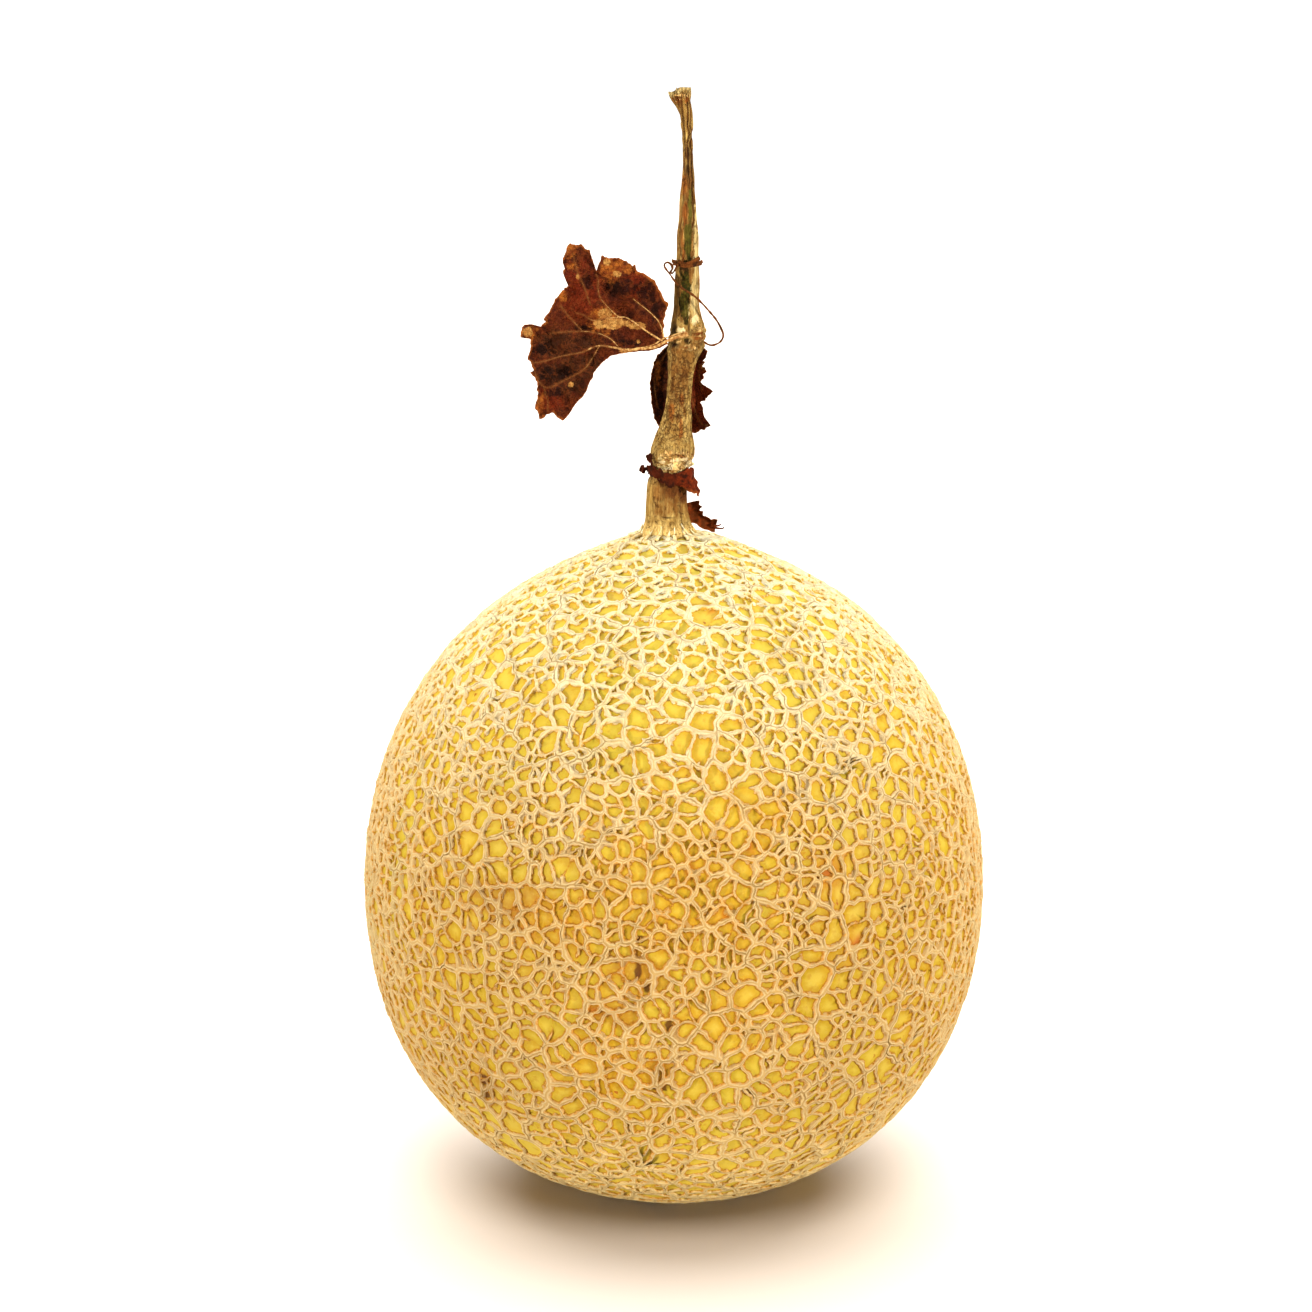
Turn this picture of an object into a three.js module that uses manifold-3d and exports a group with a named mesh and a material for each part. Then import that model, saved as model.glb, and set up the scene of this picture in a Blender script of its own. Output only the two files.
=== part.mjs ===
// A ripe netted cantaloupe melon. It stands on the small flat spot where it lay on the ground,
// and keeps the dried piece of vine that it was cut with: a stem with two thick joints, two
// withered leaves, a torn leaf base with two dead buds, a curled scrap of leaf at the stem's
// foot, and a tendril that crosses in front of the stem.
//
// Units are millimetres. +Z is up, +X is to the right, and the front is towards -Y.
// The origin is the middle of the flat spot.

import * as THREE from 'three';
import { ConvexHull } from 'three/addons/math/ConvexHull.js';
import { mergeVertices } from 'three/addons/utils/BufferGeometryUtils.js';
import Module from 'manifold-3d';

const wasm = await Module();
wasm.setup();

// ---------------------------------------------------------------- driving dimensions

// The fruit, measured over its net. Its outline is a superellipse above and below the widest
// level: a power of 2 is an ellipse, and more is squarer.
const FRUIT_RADIUS = 75;
const FRUIT_NARROWING = 0.012; // how much narrower it is from front to back
const CROWN_REACH = 82.2; // from the widest level up to the crown
const CROWN_POWER = 2.03;
const CROWN_TIP = 3.5; // the crown is drawn up a little further round the stem
const CROWN_TIP_SPREAD = 0.229; // radians from the axis
const BASE_REACH = 76.9; // from the widest level down to the base
const BASE_POWER = 2.21;
const FLAT_SPOT_CUT = 1.6; // what the flat spot takes off the base
const STEM_SEAT_CUT = 0.6; // what the stem's seat takes off the crown

// The net of cork strands that covers the rind.
const NET_CELLS = 480;
const NET_JITTER = 0.62; // how far a cell strays, as a part of the spacing of the cells
const NET_HEIGHT = 1.1;
const STRAND_WIDTH = 2.5; // on top
const STRAND_FLARE = 0.5; // more at the foot, on each side

// The stem. Each station is its height over the seat, its place to the right, and its radius.
const STEM_RIDGES = 5;
const STEM_RIDGE_DEPTH = 0.13; // as a part of the radius
const STEM_SIDES = 4 * STEM_RIDGES;
const STEM_TWIST = 0.9; // radians from foot to cut end
const TOUCH_GAP = 0.3; // between pieces that touch
const STEM_STATIONS = [
  [TOUCH_GAP, -1.2, 6.3],
  [1.2, -1.2, 6.3],
  [2.2, -1.4, 5.8],
  [3.9, -1.5, 5.2],
  [6.3, -1.7, 4.9],
  [9.9, -1.7, 4.6],
  [13.5, -1.2, 4.5],
  [15.4, -0.6, 4.4],
  [17.0, -0.4, 4.9],
  [18.9, -0.3, 5.2],
  [21.8, -0.1, 4.8],
  [24.1, 0.2, 4.1],
  [27.7, 0.7, 3.5],
  [31.5, 1.4, 3.0],
  [35.9, 1.6, 3.1],
  [39.4, 2.0, 3.4],
  [42.5, 2.4, 4.0],
  [44.4, 2.9, 4.3],
  [46.7, 3.2, 4.5],
  [49.5, 3.0, 3.8],
  [52.5, 3.0, 3.1],
  [56.9, 3.0, 3.0],
  [60.7, 3.0, 2.9],
  [64.1, 3.1, 2.7],
  [70.0, 3.2, 2.5],
  [78.2, 3.3, 1.9],
  [82.8, 3.2, 1.6],
  [87.0, 3.2, 1.3],
  [92.2, 2.9, 1.4],
  [98.2, 2.5, 1.8],
  [101.7, 1.6, 2.4],
  [103.3, 1.2, 2.7],
];

// Leaf outlines, as seen from the front: to the right and up from where the leaf joins its
// stalk, anticlockwise. Every point can be seen from the leaf's middle.
const LEAF_THICKNESS = 0.85;
const SIDE_LEAF_JOINT = new THREE.Vector3(-2.0, -4.6, 45.1);
const SIDE_LEAF_MIDDLE = [-18, 0.5];
const SIDE_LEAF_OUTLINE = [
  [0.0, -0.6], [-0.2, 2.0], [0.0, 5.2], [0.6, 8.9], [-0.9, 11.9], [-3.3, 15.1], [-5.6, 15.9],
  [-7.2, 18.2], [-9.1, 19.0], [-11.2, 19.5], [-14.8, 20.0], [-15.7, 18.4], [-16.2, 16.7],
  [-16.6, 19.2], [-17.7, 21.4], [-19.4, 22.7], [-22.3, 22.7], [-23.2, 21.2], [-23.9, 18.8],
  [-23.6, 16.3], [-23.1, 14.3], [-22.6, 12.9], [-24.1, 11.8], [-26.1, 9.7], [-27.4, 7.3],
  [-28.6, 5.2], [-29.5, 3.8], [-30.7, 4.2], [-32.8, 4.1], [-33.6, 3.1], [-33.7, 1.5],
  [-30.9, 1.0], [-31.4, -0.6], [-31.6, -2.2], [-31.2, -4.7], [-31.4, -7.2], [-30.4, -8.9],
  [-30.0, -11.3], [-30.7, -15.1], [-29.4, -17.8], [-27.0, -16.6], [-24.3, -18.0],
  [-22.1, -15.5], [-20.4, -13.0], [-18.4, -10.1], [-16.7, -7.6], [-14.6, -5.1],
  [-12.5, -3.3], [-7.9, -2.4], [-3.3, -1.8],
];
const BACK_LEAF_JOINT = new THREE.Vector3(2.8, 5.3, 46.1);
const BACK_LEAF_MIDDLE = [-1.5, -12];
const BACK_LEAF_OUTLINE = [
  [1.5, -0.2], [-1.8, -0.4], [-5.6, -3.6], [-8.3, -7.1], [-8.5, -11.9], [-7.8, -16.6],
  [-6.1, -21.4], [-3.6, -24.2], [-1.2, -23.2], [0.6, -25.0], [2.2, -23.4], [5.8, -22.1],
  [4.8, -18.3], [3.9, -16.6], [4.3, -14.9], [6.2, -13.3], [4.4, -10.4], [3.9, -8.8],
  [5.0, -5.5], [4.1, -3.2],
];
const LEAF_RINGS = 5;

// The torn leaf base: a collar round the front of the stem, just under the lower joint. Its
// angles run from the front, to the right. One stretch of it hangs down as a flap.
const COLLAR_CENTRE_X = -0.7;
const COLLAR_RADIUS = 5.05; // inside
const COLLAR_START = -1.7;
const COLLAR_END = 1.65;
const COLLAR_TOP = 16.2;
const COLLAR_HEIGHT = 2.2;
const COLLAR_TEAR = 0.7; // depth of the tears along its lower edge
const FLAP_ANGLE = 1.05;
const FLAP_SPREAD = 0.42;
const FLAP_DROP = 4.6;
const FLAP_FLARE = 1.6;
const BUD_RADIUS = 0.85;
const BUDS = [
  { centre: new THREE.Vector3(-5.9, -3.5, 17.9), foot: new THREE.Vector3(-5.2, -3.2, 15.6) },
  { centre: new THREE.Vector3(-7.4, -1.2, 14.8), foot: new THREE.Vector3(-6.0, -1.0, 15.3) },
];

// The curled scrap of leaf: its middle line from the stem's foot down to the crown.
const SCRAP_ROUTE = [
  new THREE.Vector3(4.2, 1.4, 6.6),
  new THREE.Vector3(5.0, 1.7, 4.6),
  new THREE.Vector3(6.6, 2.2, 2.9),
  new THREE.Vector3(9.2, 2.9, 1.8),
  new THREE.Vector3(11.6, 3.1, 1.3),
];
const SCRAP_WIDTH = 2.6;
const SCRAP_TIP_WIDTH = 1.0;
const SCRAP_STEPS = 10;

// The tendril, from the upper joint's right side, round in front of the stem, to a small
// scale higher up.
const TENDRIL_RADIUS = 0.45;
const TENDRIL_STEPS = 62;
const TENDRIL_ROUTE = [
  new THREE.Vector3(7.6, -2.6, 44.9),
  new THREE.Vector3(8.9, -3.2, 44.2),
  new THREE.Vector3(11.3, -3.4, 46.0),
  new THREE.Vector3(10.5, -3.6, 48.7),
  new THREE.Vector3(8.4, -4.0, 52.4),
  new THREE.Vector3(5.9, -4.4, 54.9),
  new THREE.Vector3(1.8, -4.5, 57.8),
  new THREE.Vector3(-0.8, -4.3, 60.3),
  new THREE.Vector3(-2.2, -3.9, 62.4),
  new THREE.Vector3(-1.2, -3.3, 63.7),
  new THREE.Vector3(0.6, -2.6, 63.7),
];
const SCALE_CENTRE_X = 3.05;
const SCALE_RADIUS = 3.1; // inside
const SCALE_HALF_ANGLE = 1.5;
const SCALE_BOTTOM = 62.9;
const SCALE_HEIGHT = 1.9;
const SCALE_THICKNESS = 0.8;

// ---------------------------------------------------------------- helpers

// A repeatable number from 0 to 1 for a numbered thing: the fraction of a large sine.
function chance(number, draw) {
  const wave = Math.sin(number * 12.9898 + draw * 78.233) * 43758.5453;
  return wave - Math.floor(wave);
}

// A closed solid from its points and its triangles, with its faces turned outwards.
function solidOf(points, triangles) {
  const volume = triangles.reduce((sum, [a, b, c]) => {
    return sum + points[a].dot(new THREE.Vector3().crossVectors(points[b], points[c]));
  }, 0);
  const outward = volume > 0 ? triangles : triangles.map(([a, b, c]) => [a, c, b]);
  const geometry = new THREE.BufferGeometry().setFromPoints(points);
  geometry.setIndex(outward.flat());
  return geometry;
}

// A sheet with thickness: its two faces are split into the same triangles, and a wall runs
// round the rim, which is a list of the points along the edge.
function sheetSolid(front, back, faces, rim) {
  const count = front.length;
  const triangles = faces.flatMap(([a, b, c]) => [[a, b, c], [count + a, count + c, count + b]]);
  rim.forEach((here, place) => {
    const next = rim[(place + 1) % rim.length];
    triangles.push([here, count + here, count + next], [here, count + next, next]);
  });
  return solidOf([...front, ...back], triangles);
}

// The triangles and the rim of a grid of points that are numbered column by column.
function gridFaces(columns, rows) {
  const at = (column, row) => column * (rows + 1) + row;
  const faces = [];
  for (let column = 0; column < columns; column += 1) {
    for (let row = 0; row < rows; row += 1) {
      faces.push([at(column, row), at(column + 1, row), at(column + 1, row + 1)]);
      faces.push([at(column, row), at(column + 1, row + 1), at(column, row + 1)]);
    }
  }
  const rim = [];
  for (let column = 0; column < columns; column += 1) rim.push(at(column, 0));
  for (let row = 0; row < rows; row += 1) rim.push(at(columns, row));
  for (let column = columns; column > 0; column -= 1) rim.push(at(column, rows));
  for (let row = rows; row > 0; row -= 1) rim.push(at(0, row));
  return { faces, rim };
}

// A tube through rings of points, closed by a flat end at each end.
function ringedSolid(rings) {
  const sides = rings[0].length;
  const triangles = [];
  for (let ring = 0; ring < rings.length - 1; ring += 1) {
    for (let side = 0; side < sides; side += 1) {
      const here = ring * sides + side;
      const beside = ring * sides + (side + 1) % sides;
      triangles.push([here, beside, beside + sides], [here, beside + sides, here + sides]);
    }
  }
  const last = (rings.length - 1) * sides;
  for (let side = 1; side < sides - 1; side += 1) {
    triangles.push([0, side + 1, side], [last, last + side, last + side + 1]);
  }
  return solidOf(rings.flat(), triangles);
}

// A round tube along a smooth curve through the route's points.
function tube(route, radius, sides, steps) {
  const section = new THREE.Shape();
  for (let side = 0; side < sides; side += 1) {
    const angle = side / sides * 2 * Math.PI;
    const point = [radius * Math.cos(angle), radius * Math.sin(angle)];
    if (side === 0) section.moveTo(...point);
    else section.lineTo(...point);
  }
  section.closePath();
  const extrudePath = new THREE.CatmullRomCurve3(route);
  return new THREE.ExtrudeGeometry(section, { steps, extrudePath, bevelEnabled: false });
}

function toManifold(geometry) {
  const bare = geometry.clone();
  bare.deleteAttribute('normal');
  bare.deleteAttribute('uv');
  const merged = mergeVertices(bare);
  return new wasm.Manifold(new wasm.Mesh({
    numProp: 3,
    vertProperties: new Float32Array(merged.attributes.position.array),
    triVerts: new Uint32Array(merged.index.array),
  }));
}

// Several overlapping solids joined into one.
function fuse(geometries) {
  const joined = geometries.map(toManifold).reduce((whole, piece) => whole.add(piece));
  const mesh = joined.getMesh();
  const geometry = new THREE.BufferGeometry();
  geometry.setAttribute('position', new THREE.BufferAttribute(mesh.vertProperties, 3));
  geometry.setIndex(new THREE.BufferAttribute(mesh.triVerts, 1));
  return geometry;
}

function part(name, geometry, color, roughness) {
  const mesh = new THREE.Mesh(
    geometry,
    new THREE.MeshStandardMaterial({ color, roughness, metalness: 0 }),
  );
  mesh.name = name;
  return mesh;
}

// ---------------------------------------------------------------- the fruit

const WIDEST_LEVEL = BASE_REACH - FLAT_SPOT_CUT;
const SEAT_LEVEL = WIDEST_LEVEL + CROWN_REACH + CROWN_TIP - STEM_SEAT_CUT;

// Distance from the fruit's middle to its surface, at an angle from straight up.
function fruitReach(angle) {
  const above = angle < Math.PI / 2;
  const reach = above ? CROWN_REACH : BASE_REACH;
  const power = above ? CROWN_POWER : BASE_POWER;
  const across = (Math.abs(Math.sin(angle)) / FRUIT_RADIUS) ** power;
  const along = (Math.abs(Math.cos(angle)) / reach) ** power;
  const tip = CROWN_TIP * Math.exp(-((angle / CROWN_TIP_SPREAD) ** 2));
  return (across + along) ** (-1 / power) + tip;
}

// A point of the fruit in a direction from its middle, some depth under the net's top. The
// flat spot and the stem's seat cut it off level.
function fruitPoint(direction, depth) {
  const unit = direction.clone().normalize();
  const angle = Math.acos(THREE.MathUtils.clamp(unit.z, -1, 1));
  const point = unit.multiplyScalar(fruitReach(angle) - depth);
  point.y *= 1 - FRUIT_NARROWING;
  point.z = THREE.MathUtils.clamp(point.z + WIDEST_LEVEL, 0, SEAT_LEVEL);
  return point;
}

// The middles of the net's cells: a golden spiral from crown to base, each strayed a little.
function cellSites() {
  const goldenAngle = Math.PI * (3 - Math.sqrt(5));
  const stray = NET_JITTER * Math.sqrt(4 * Math.PI / NET_CELLS);
  const sites = [];
  for (let cell = 0; cell < NET_CELLS; cell += 1) {
    const level = 1 - (2 * cell + 1) / NET_CELLS;
    const ring = Math.sqrt(1 - level ** 2);
    const turn = cell * goldenAngle;
    const site = new THREE.Vector3(ring * Math.cos(turn), ring * Math.sin(turn), level);
    site.x += stray * (chance(cell, 1) - 0.5);
    site.y += stray * (chance(cell, 2) - 0.5);
    site.z += stray * (chance(cell, 3) - 0.5);
    sites.push(site.normalize());
  }
  return sites;
}

// The edges of the hull that leave one site, in order round it.
function edgesRound(first) {
  const edges = [];
  let edge = first;
  do {
    edges.push(edge);
    edge = edge.prev.twin;
  } while (edge !== first);
  return edges;
}

// The fruit with its net. The hull of the sites gives the net: three cells meet in the middle
// of each of its triangles. Each cell has a corner in each triangle round its site, drawn in
// from the meeting point towards the cell's middle. There is a ring of such corners on the
// shoulder of the strands and one at their foot, on the rind.
function nettedFruit() {
  const hull = new ConvexHull().setFromPoints(cellSites());
  const edges = hull.faces.flatMap(({ edge }) => [edge, edge.next, edge.prev]);
  const number = new Map(edges.map((edge, place) => [edge, place]));
  const shoulders = new Array(edges.length);
  const feet = new Array(edges.length);
  const triangles = [];
  const foot = (edge) => edges.length + number.get(edge);
  const shoulder = (edge) => number.get(edge);

  for (const first of edges) {
    if (shoulders[number.get(first)]) continue;
    const corners = edgesRound(first);
    const meetings = corners.map(({ face }) => face.normal.clone().normalize());
    const middle = meetings.reduce((sum, meeting) => sum.add(meeting), new THREE.Vector3());
    middle.normalize();
    const spread = meetings.reduce((sum, meeting) => sum + meeting.distanceTo(middle), 0);
    const cellRadius = spread / meetings.length * FRUIT_RADIUS;
    const inset = STRAND_WIDTH / 2 / cellRadius;
    const footInset = (STRAND_WIDTH / 2 + STRAND_FLARE) / cellRadius;
    corners.forEach((edge, place) => {
      const meeting = meetings[place];
      shoulders[number.get(edge)] = fruitPoint(meeting.clone().lerp(middle, inset), 0);
      feet[number.get(edge)] = fruitPoint(meeting.clone().lerp(middle, footInset), NET_HEIGHT);
    });
    corners.forEach((edge, place) => {
      const next = corners[(place + 1) % corners.length];
      triangles.push([shoulder(edge), shoulder(next), foot(next)]);
      triangles.push([shoulder(edge), foot(next), foot(edge)]);
      if (place > 0 && place < corners.length - 1) {
        triangles.push([foot(corners[0]), foot(edge), foot(next)]);
      }
    });
  }
  for (const { edge } of hull.faces) {
    triangles.push([shoulder(edge), shoulder(edge.next), shoulder(edge.prev)]);
  }
  for (const edge of edges) {
    const twin = edge.twin;
    if (number.get(edge) < number.get(twin)) {
      triangles.push([shoulder(edge), shoulder(twin.next), shoulder(twin)]);
      triangles.push([shoulder(edge), shoulder(twin), shoulder(edge.next)]);
    }
  }
  return solidOf([...shoulders, ...feet], triangles);
}

// ---------------------------------------------------------------- the vine

// The stem: five rounded ridges that turn slowly round it on the way up.
function stemSolid() {
  const stemHeight = STEM_STATIONS.at(-1)[0];
  const rings = STEM_STATIONS.map(([height, right, radius]) => {
    const ring = [];
    for (let side = 0; side < STEM_SIDES; side += 1) {
      const angle = side / STEM_SIDES * 2 * Math.PI;
      const groove = (1 - Math.cos(STEM_RIDGES * angle)) / 2;
      const reach = radius * (1 - STEM_RIDGE_DEPTH * groove);
      const turned = angle + STEM_TWIST * height / stemHeight;
      ring.push(new THREE.Vector3(
        right + reach * Math.cos(turned),
        reach * Math.sin(turned),
        height,
      ));
    }
    return ring;
  });
  return ringedSolid(rings);
}

// A leaf's blade: rings that shrink from its outline to its middle, set back by a formula.
function bladeSolid(outline, middle, setBack) {
  const spokes = outline.length;
  const place = (right, up, side) => {
    return new THREE.Vector3(right, setBack(right, up) + side * LEAF_THICKNESS / 2, up);
  };
  const layer = (side) => {
    const points = [place(middle[0], middle[1], side)];
    for (let ring = 1; ring <= LEAF_RINGS; ring += 1) {
      const out = ring / LEAF_RINGS;
      for (const [right, up] of outline) {
        points.push(place(
          middle[0] + out * (right - middle[0]),
          middle[1] + out * (up - middle[1]),
          side,
        ));
      }
    }
    return points;
  };
  const at = (ring, spoke) => 1 + (ring - 1) * spokes + spoke % spokes;
  const faces = [];
  for (let spoke = 0; spoke < spokes; spoke += 1) {
    faces.push([0, at(1, spoke), at(1, spoke + 1)]);
    for (let ring = 1; ring < LEAF_RINGS; ring += 1) {
      faces.push([at(ring, spoke), at(ring + 1, spoke), at(ring + 1, spoke + 1)]);
      faces.push([at(ring, spoke), at(ring + 1, spoke + 1), at(ring, spoke + 1)]);
    }
  }
  const rim = outline.map((point, spoke) => at(LEAF_RINGS, spoke));
  return sheetSolid(layer(-1), layer(1), faces, rim);
}

// The side leaf bends away towards its tip, its upper lobe leans forward and its lower lobe
// back, and it is crumpled all over.
function sideLeafSetBack(right, up) {
  const bend = 5 * (right / 33) ** 2;
  const lean = up > 0 ? -3 * (up / 22) ** 2 : 3 * (up / 18) ** 2;
  const crumple = 0.6 * Math.sin(0.62 * right + 0.35 * up) + 0.5 * Math.sin(0.7 * up - 0.3 * right);
  return bend + lean + crumple;
}

// The back leaf is a channel, open to the front, that holds the stem in its hollow.
function backLeafSetBack(right, up) {
  const channel = 1.6 - 4 * ((right + 1.5) / 7) ** 2;
  return channel + 0.35 * Math.sin(0.8 * up + 0.4 * right);
}

function sideLeafSolid() {
  const stalk = [
    new THREE.Vector3(2.6, -1.2, 1.6),
    new THREE.Vector3(1.0, -1.0, 0.9),
    new THREE.Vector3(-1.6, 0.1, 0.4),
  ];
  const blade = bladeSolid(SIDE_LEAF_OUTLINE, SIDE_LEAF_MIDDLE, sideLeafSetBack);
  return fuse([blade, tube(stalk, 0.9, 8, 5)]);
}

function backLeafSolid() {
  const stalk = [
    new THREE.Vector3(0.2, 0.2, 0.9),
    new THREE.Vector3(-0.2, 1.0, 0.2),
    new THREE.Vector3(-0.4, 1.4, -1.8),
  ];
  const blade = bladeSolid(BACK_LEAF_OUTLINE, BACK_LEAF_MIDDLE, backLeafSetBack);
  return fuse([blade, tube(stalk, 0.8, 8, 5)]);
}

// A curved plate round an upright axis, from its inner radius, top and bottom at each angle.
function collarSolid(centreX, start, end, columns, rows, thickness, shape) {
  const layer = (outside) => {
    const points = [];
    for (let column = 0; column <= columns; column += 1) {
      const angle = start + (end - start) * column / columns;
      for (let row = 0; row <= rows; row += 1) {
        const { radius, height } = shape(angle, row / rows, column);
        const reach = radius + outside * thickness;
        points.push(new THREE.Vector3(
          centreX + reach * Math.sin(angle),
          -reach * Math.cos(angle),
          height,
        ));
      }
    }
    return points;
  };
  const { faces, rim } = gridFaces(columns, rows);
  return sheetSolid(layer(1), layer(0), faces, rim);
}

// The torn leaf base, with its two dead buds on short stalks.
function leafBaseSolid() {
  const shape = (angle, down, column) => {
    const flap = Math.exp(-(((angle - FLAP_ANGLE) / FLAP_SPREAD) ** 4));
    const tear = column % 2 === 0 ? COLLAR_TEAR : 0;
    const height = COLLAR_HEIGHT + FLAP_DROP * flap - tear;
    return { radius: COLLAR_RADIUS + FLAP_FLARE * flap * down, height: COLLAR_TOP - height * down };
  };
  const collar = collarSolid(COLLAR_CENTRE_X, COLLAR_START, COLLAR_END, 24, 4, 0.8, shape);
  const buds = BUDS.flatMap(({ centre, foot }) => {
    const bud = new THREE.IcosahedronGeometry(BUD_RADIUS, 1);
    bud.scale(1, 1, 1.25);
    bud.translate(centre.x, centre.y, centre.z);
    return [bud, tube([foot, centre], 0.35, 6, 2)];
  });
  return fuse([collar, ...buds]);
}

// The scrap of leaf: a narrowing ribbon that stands on edge, cupped a little.
function leafScrapSolid() {
  const curve = new THREE.CatmullRomCurve3(SCRAP_ROUTE);
  const rows = 3;
  const layer = (side) => {
    const points = [];
    for (let step = 0; step <= SCRAP_STEPS; step += 1) {
      const along = step / SCRAP_STEPS;
      const centre = curve.getPoint(along);
      const run = curve.getTangent(along);
      const across = new THREE.Vector3(-run.z, 0, run.x).normalize();
      const width = THREE.MathUtils.lerp(SCRAP_WIDTH, SCRAP_TIP_WIDTH, along);
      for (let row = 0; row <= rows; row += 1) {
        const place = row / rows - 0.5;
        const cup = 1.2 * (1 - (2 * place) ** 2);
        const point = centre.clone().addScaledVector(across, width * place);
        point.y += cup + side * LEAF_THICKNESS / 2;
        points.push(point);
      }
    }
    return points;
  };
  const { faces, rim } = gridFaces(SCRAP_STEPS, rows);
  return sheetSolid(layer(-1), layer(1), faces, rim);
}

// The tendril, joined to the small scale that it ends at.
function tendrilSolid() {
  const shape = (angle, down) => ({
    radius: SCALE_RADIUS,
    height: SCALE_BOTTOM + SCALE_HEIGHT * (1 - down) * Math.cos(angle * 0.7),
  });
  const scale = collarSolid(
    SCALE_CENTRE_X, -SCALE_HALF_ANGLE, SCALE_HALF_ANGLE, 12, 1, SCALE_THICKNESS, shape,
  );
  return fuse([tube(TENDRIL_ROUTE, TENDRIL_RADIUS, 6, TENDRIL_STEPS), scale]);
}

// ---------------------------------------------------------------- the melon

const melon = new THREE.Group();
melon.add(part('fruit', nettedFruit(), 0xd9b55e, 0.55));

const vine = new THREE.Group();
vine.position.z = SEAT_LEVEL;
vine.add(part('stem', stemSolid(), 0xb49a6a, 0.8));
vine.add(part('leaf_base', leafBaseSolid(), 0x3a2412, 0.85));
vine.add(part('leaf_scrap', leafScrapSolid(), 0x2f1d10, 0.85));
vine.add(part('tendril', tendrilSolid(), 0x8a5a30, 0.8));

const sideLeaf = part('side_leaf', sideLeafSolid(), 0x5a3218, 0.85);
sideLeaf.position.copy(SIDE_LEAF_JOINT);
vine.add(sideLeaf);

const backLeaf = part('back_leaf', backLeafSolid(), 0x4a2815, 0.85);
backLeaf.position.copy(BACK_LEAF_JOINT);
vine.add(backLeaf);

melon.add(vine);

export default melon;
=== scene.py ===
# %% [markdown]
# # A netted cantaloupe with its dried vine
#
# The melon is a whole fruit, still netted with raised cork strands, and it keeps the dried
# piece of vine that it was cut with. The frame that is loaded first holds the plain solids
# with their true sizes. Each of them is replaced here by a finer piece of the same form.

# %% Load the frame
import math

import bmesh
import bpy
import numpy as np
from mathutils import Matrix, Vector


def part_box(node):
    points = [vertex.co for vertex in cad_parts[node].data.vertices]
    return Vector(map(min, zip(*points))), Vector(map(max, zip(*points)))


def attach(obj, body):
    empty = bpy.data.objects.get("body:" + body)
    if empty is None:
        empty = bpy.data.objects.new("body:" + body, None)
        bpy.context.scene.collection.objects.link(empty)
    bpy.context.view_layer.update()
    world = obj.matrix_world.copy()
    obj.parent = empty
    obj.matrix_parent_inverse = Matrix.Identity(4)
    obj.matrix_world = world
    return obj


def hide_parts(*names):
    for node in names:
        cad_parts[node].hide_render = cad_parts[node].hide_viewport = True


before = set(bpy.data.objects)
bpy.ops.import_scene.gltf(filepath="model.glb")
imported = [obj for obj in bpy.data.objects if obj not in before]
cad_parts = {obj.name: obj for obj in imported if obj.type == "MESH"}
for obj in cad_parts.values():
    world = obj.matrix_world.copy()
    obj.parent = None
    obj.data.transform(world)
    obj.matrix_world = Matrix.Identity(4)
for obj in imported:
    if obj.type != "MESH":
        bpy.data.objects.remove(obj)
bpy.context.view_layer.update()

MM = 0.001

# %% [markdown]
# ## The view
#
# The camera stands 0.65 m in front of the melon, nearly as high as the stem's cut end, and
# looks slightly down with a long lens. Its place is worked out from the horizontal distance
# and from how far the view of the widest level slopes down.

# %% Camera
FRONT_DISTANCE = 650.0
SLOPE_TO_WIDEST_LEVEL = math.radians(15.0)
WIDEST_LEVEL = 75.3
CAMERA_TILT = math.radians(10.4)
CAMERA_RIGHT = -4.3
LENS, SENSOR_WIDTH = 75.65, 36.0

camera_data = bpy.data.cameras.new("camera")
camera_data.sensor_width = SENSOR_WIDTH
camera_data.lens = LENS
camera = bpy.data.objects.new("camera", camera_data)
camera_height = WIDEST_LEVEL + FRONT_DISTANCE * math.tan(SLOPE_TO_WIDEST_LEVEL)
camera.location = (CAMERA_RIGHT * MM, -FRONT_DISTANCE * MM, camera_height * MM)
camera.rotation_euler = (math.pi / 2 - CAMERA_TILT, 0.0, 0.0)
bpy.context.scene.collection.objects.link(camera)
bpy.context.scene.camera = camera
print("camera height, mm:", round(camera_height, 1))

# %% [markdown]
# ## Light and floor
#
# A broad soft lamp hangs over the melon, a little behind it, so its shadow gathers under the
# melon and in front of it. A smaller one in front gives each strand of the net a short shadow.
# Two low lamps stand on the left and the right and light the flanks. They graze the floor, so
# they leave it dark where the melon touches it.
# The lamps are strong and every paint is dark: `PAINT_SHARE` is how much of a colour's light
# comes back. Less light then bounces between the melon and the floor, and the shadow stays deep.
# The Standard view transform keeps the bright floor white.

# %% Light
scene = bpy.context.scene
scene.view_settings.view_transform = "Standard"
scene.view_settings.look = "None"

room = bpy.data.worlds.new("white_room")
room.use_nodes = True
ROOM_WHITE = (1.0, 0.995, 0.985, 1.0)
ROOM_LIGHT = 0.04  # what the room gives the melon
ROOM_SEEN = 1.2  # how bright its far side looks
LAMP_COLOUR = (1.0, 0.99, 0.965)
background = room.node_tree.nodes["Background"]
background.inputs["Color"].default_value = ROOM_WHITE
ray = room.node_tree.nodes.new("ShaderNodeLightPath")
brightness = room.node_tree.nodes.new("ShaderNodeMapRange")
brightness.inputs["To Min"].default_value = ROOM_LIGHT
brightness.inputs["To Max"].default_value = ROOM_SEEN
room.node_tree.links.new(ray.outputs["Is Camera Ray"], brightness.inputs["Value"])
room.node_tree.links.new(brightness.outputs["Result"], background.inputs["Strength"])
scene.world = room

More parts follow.
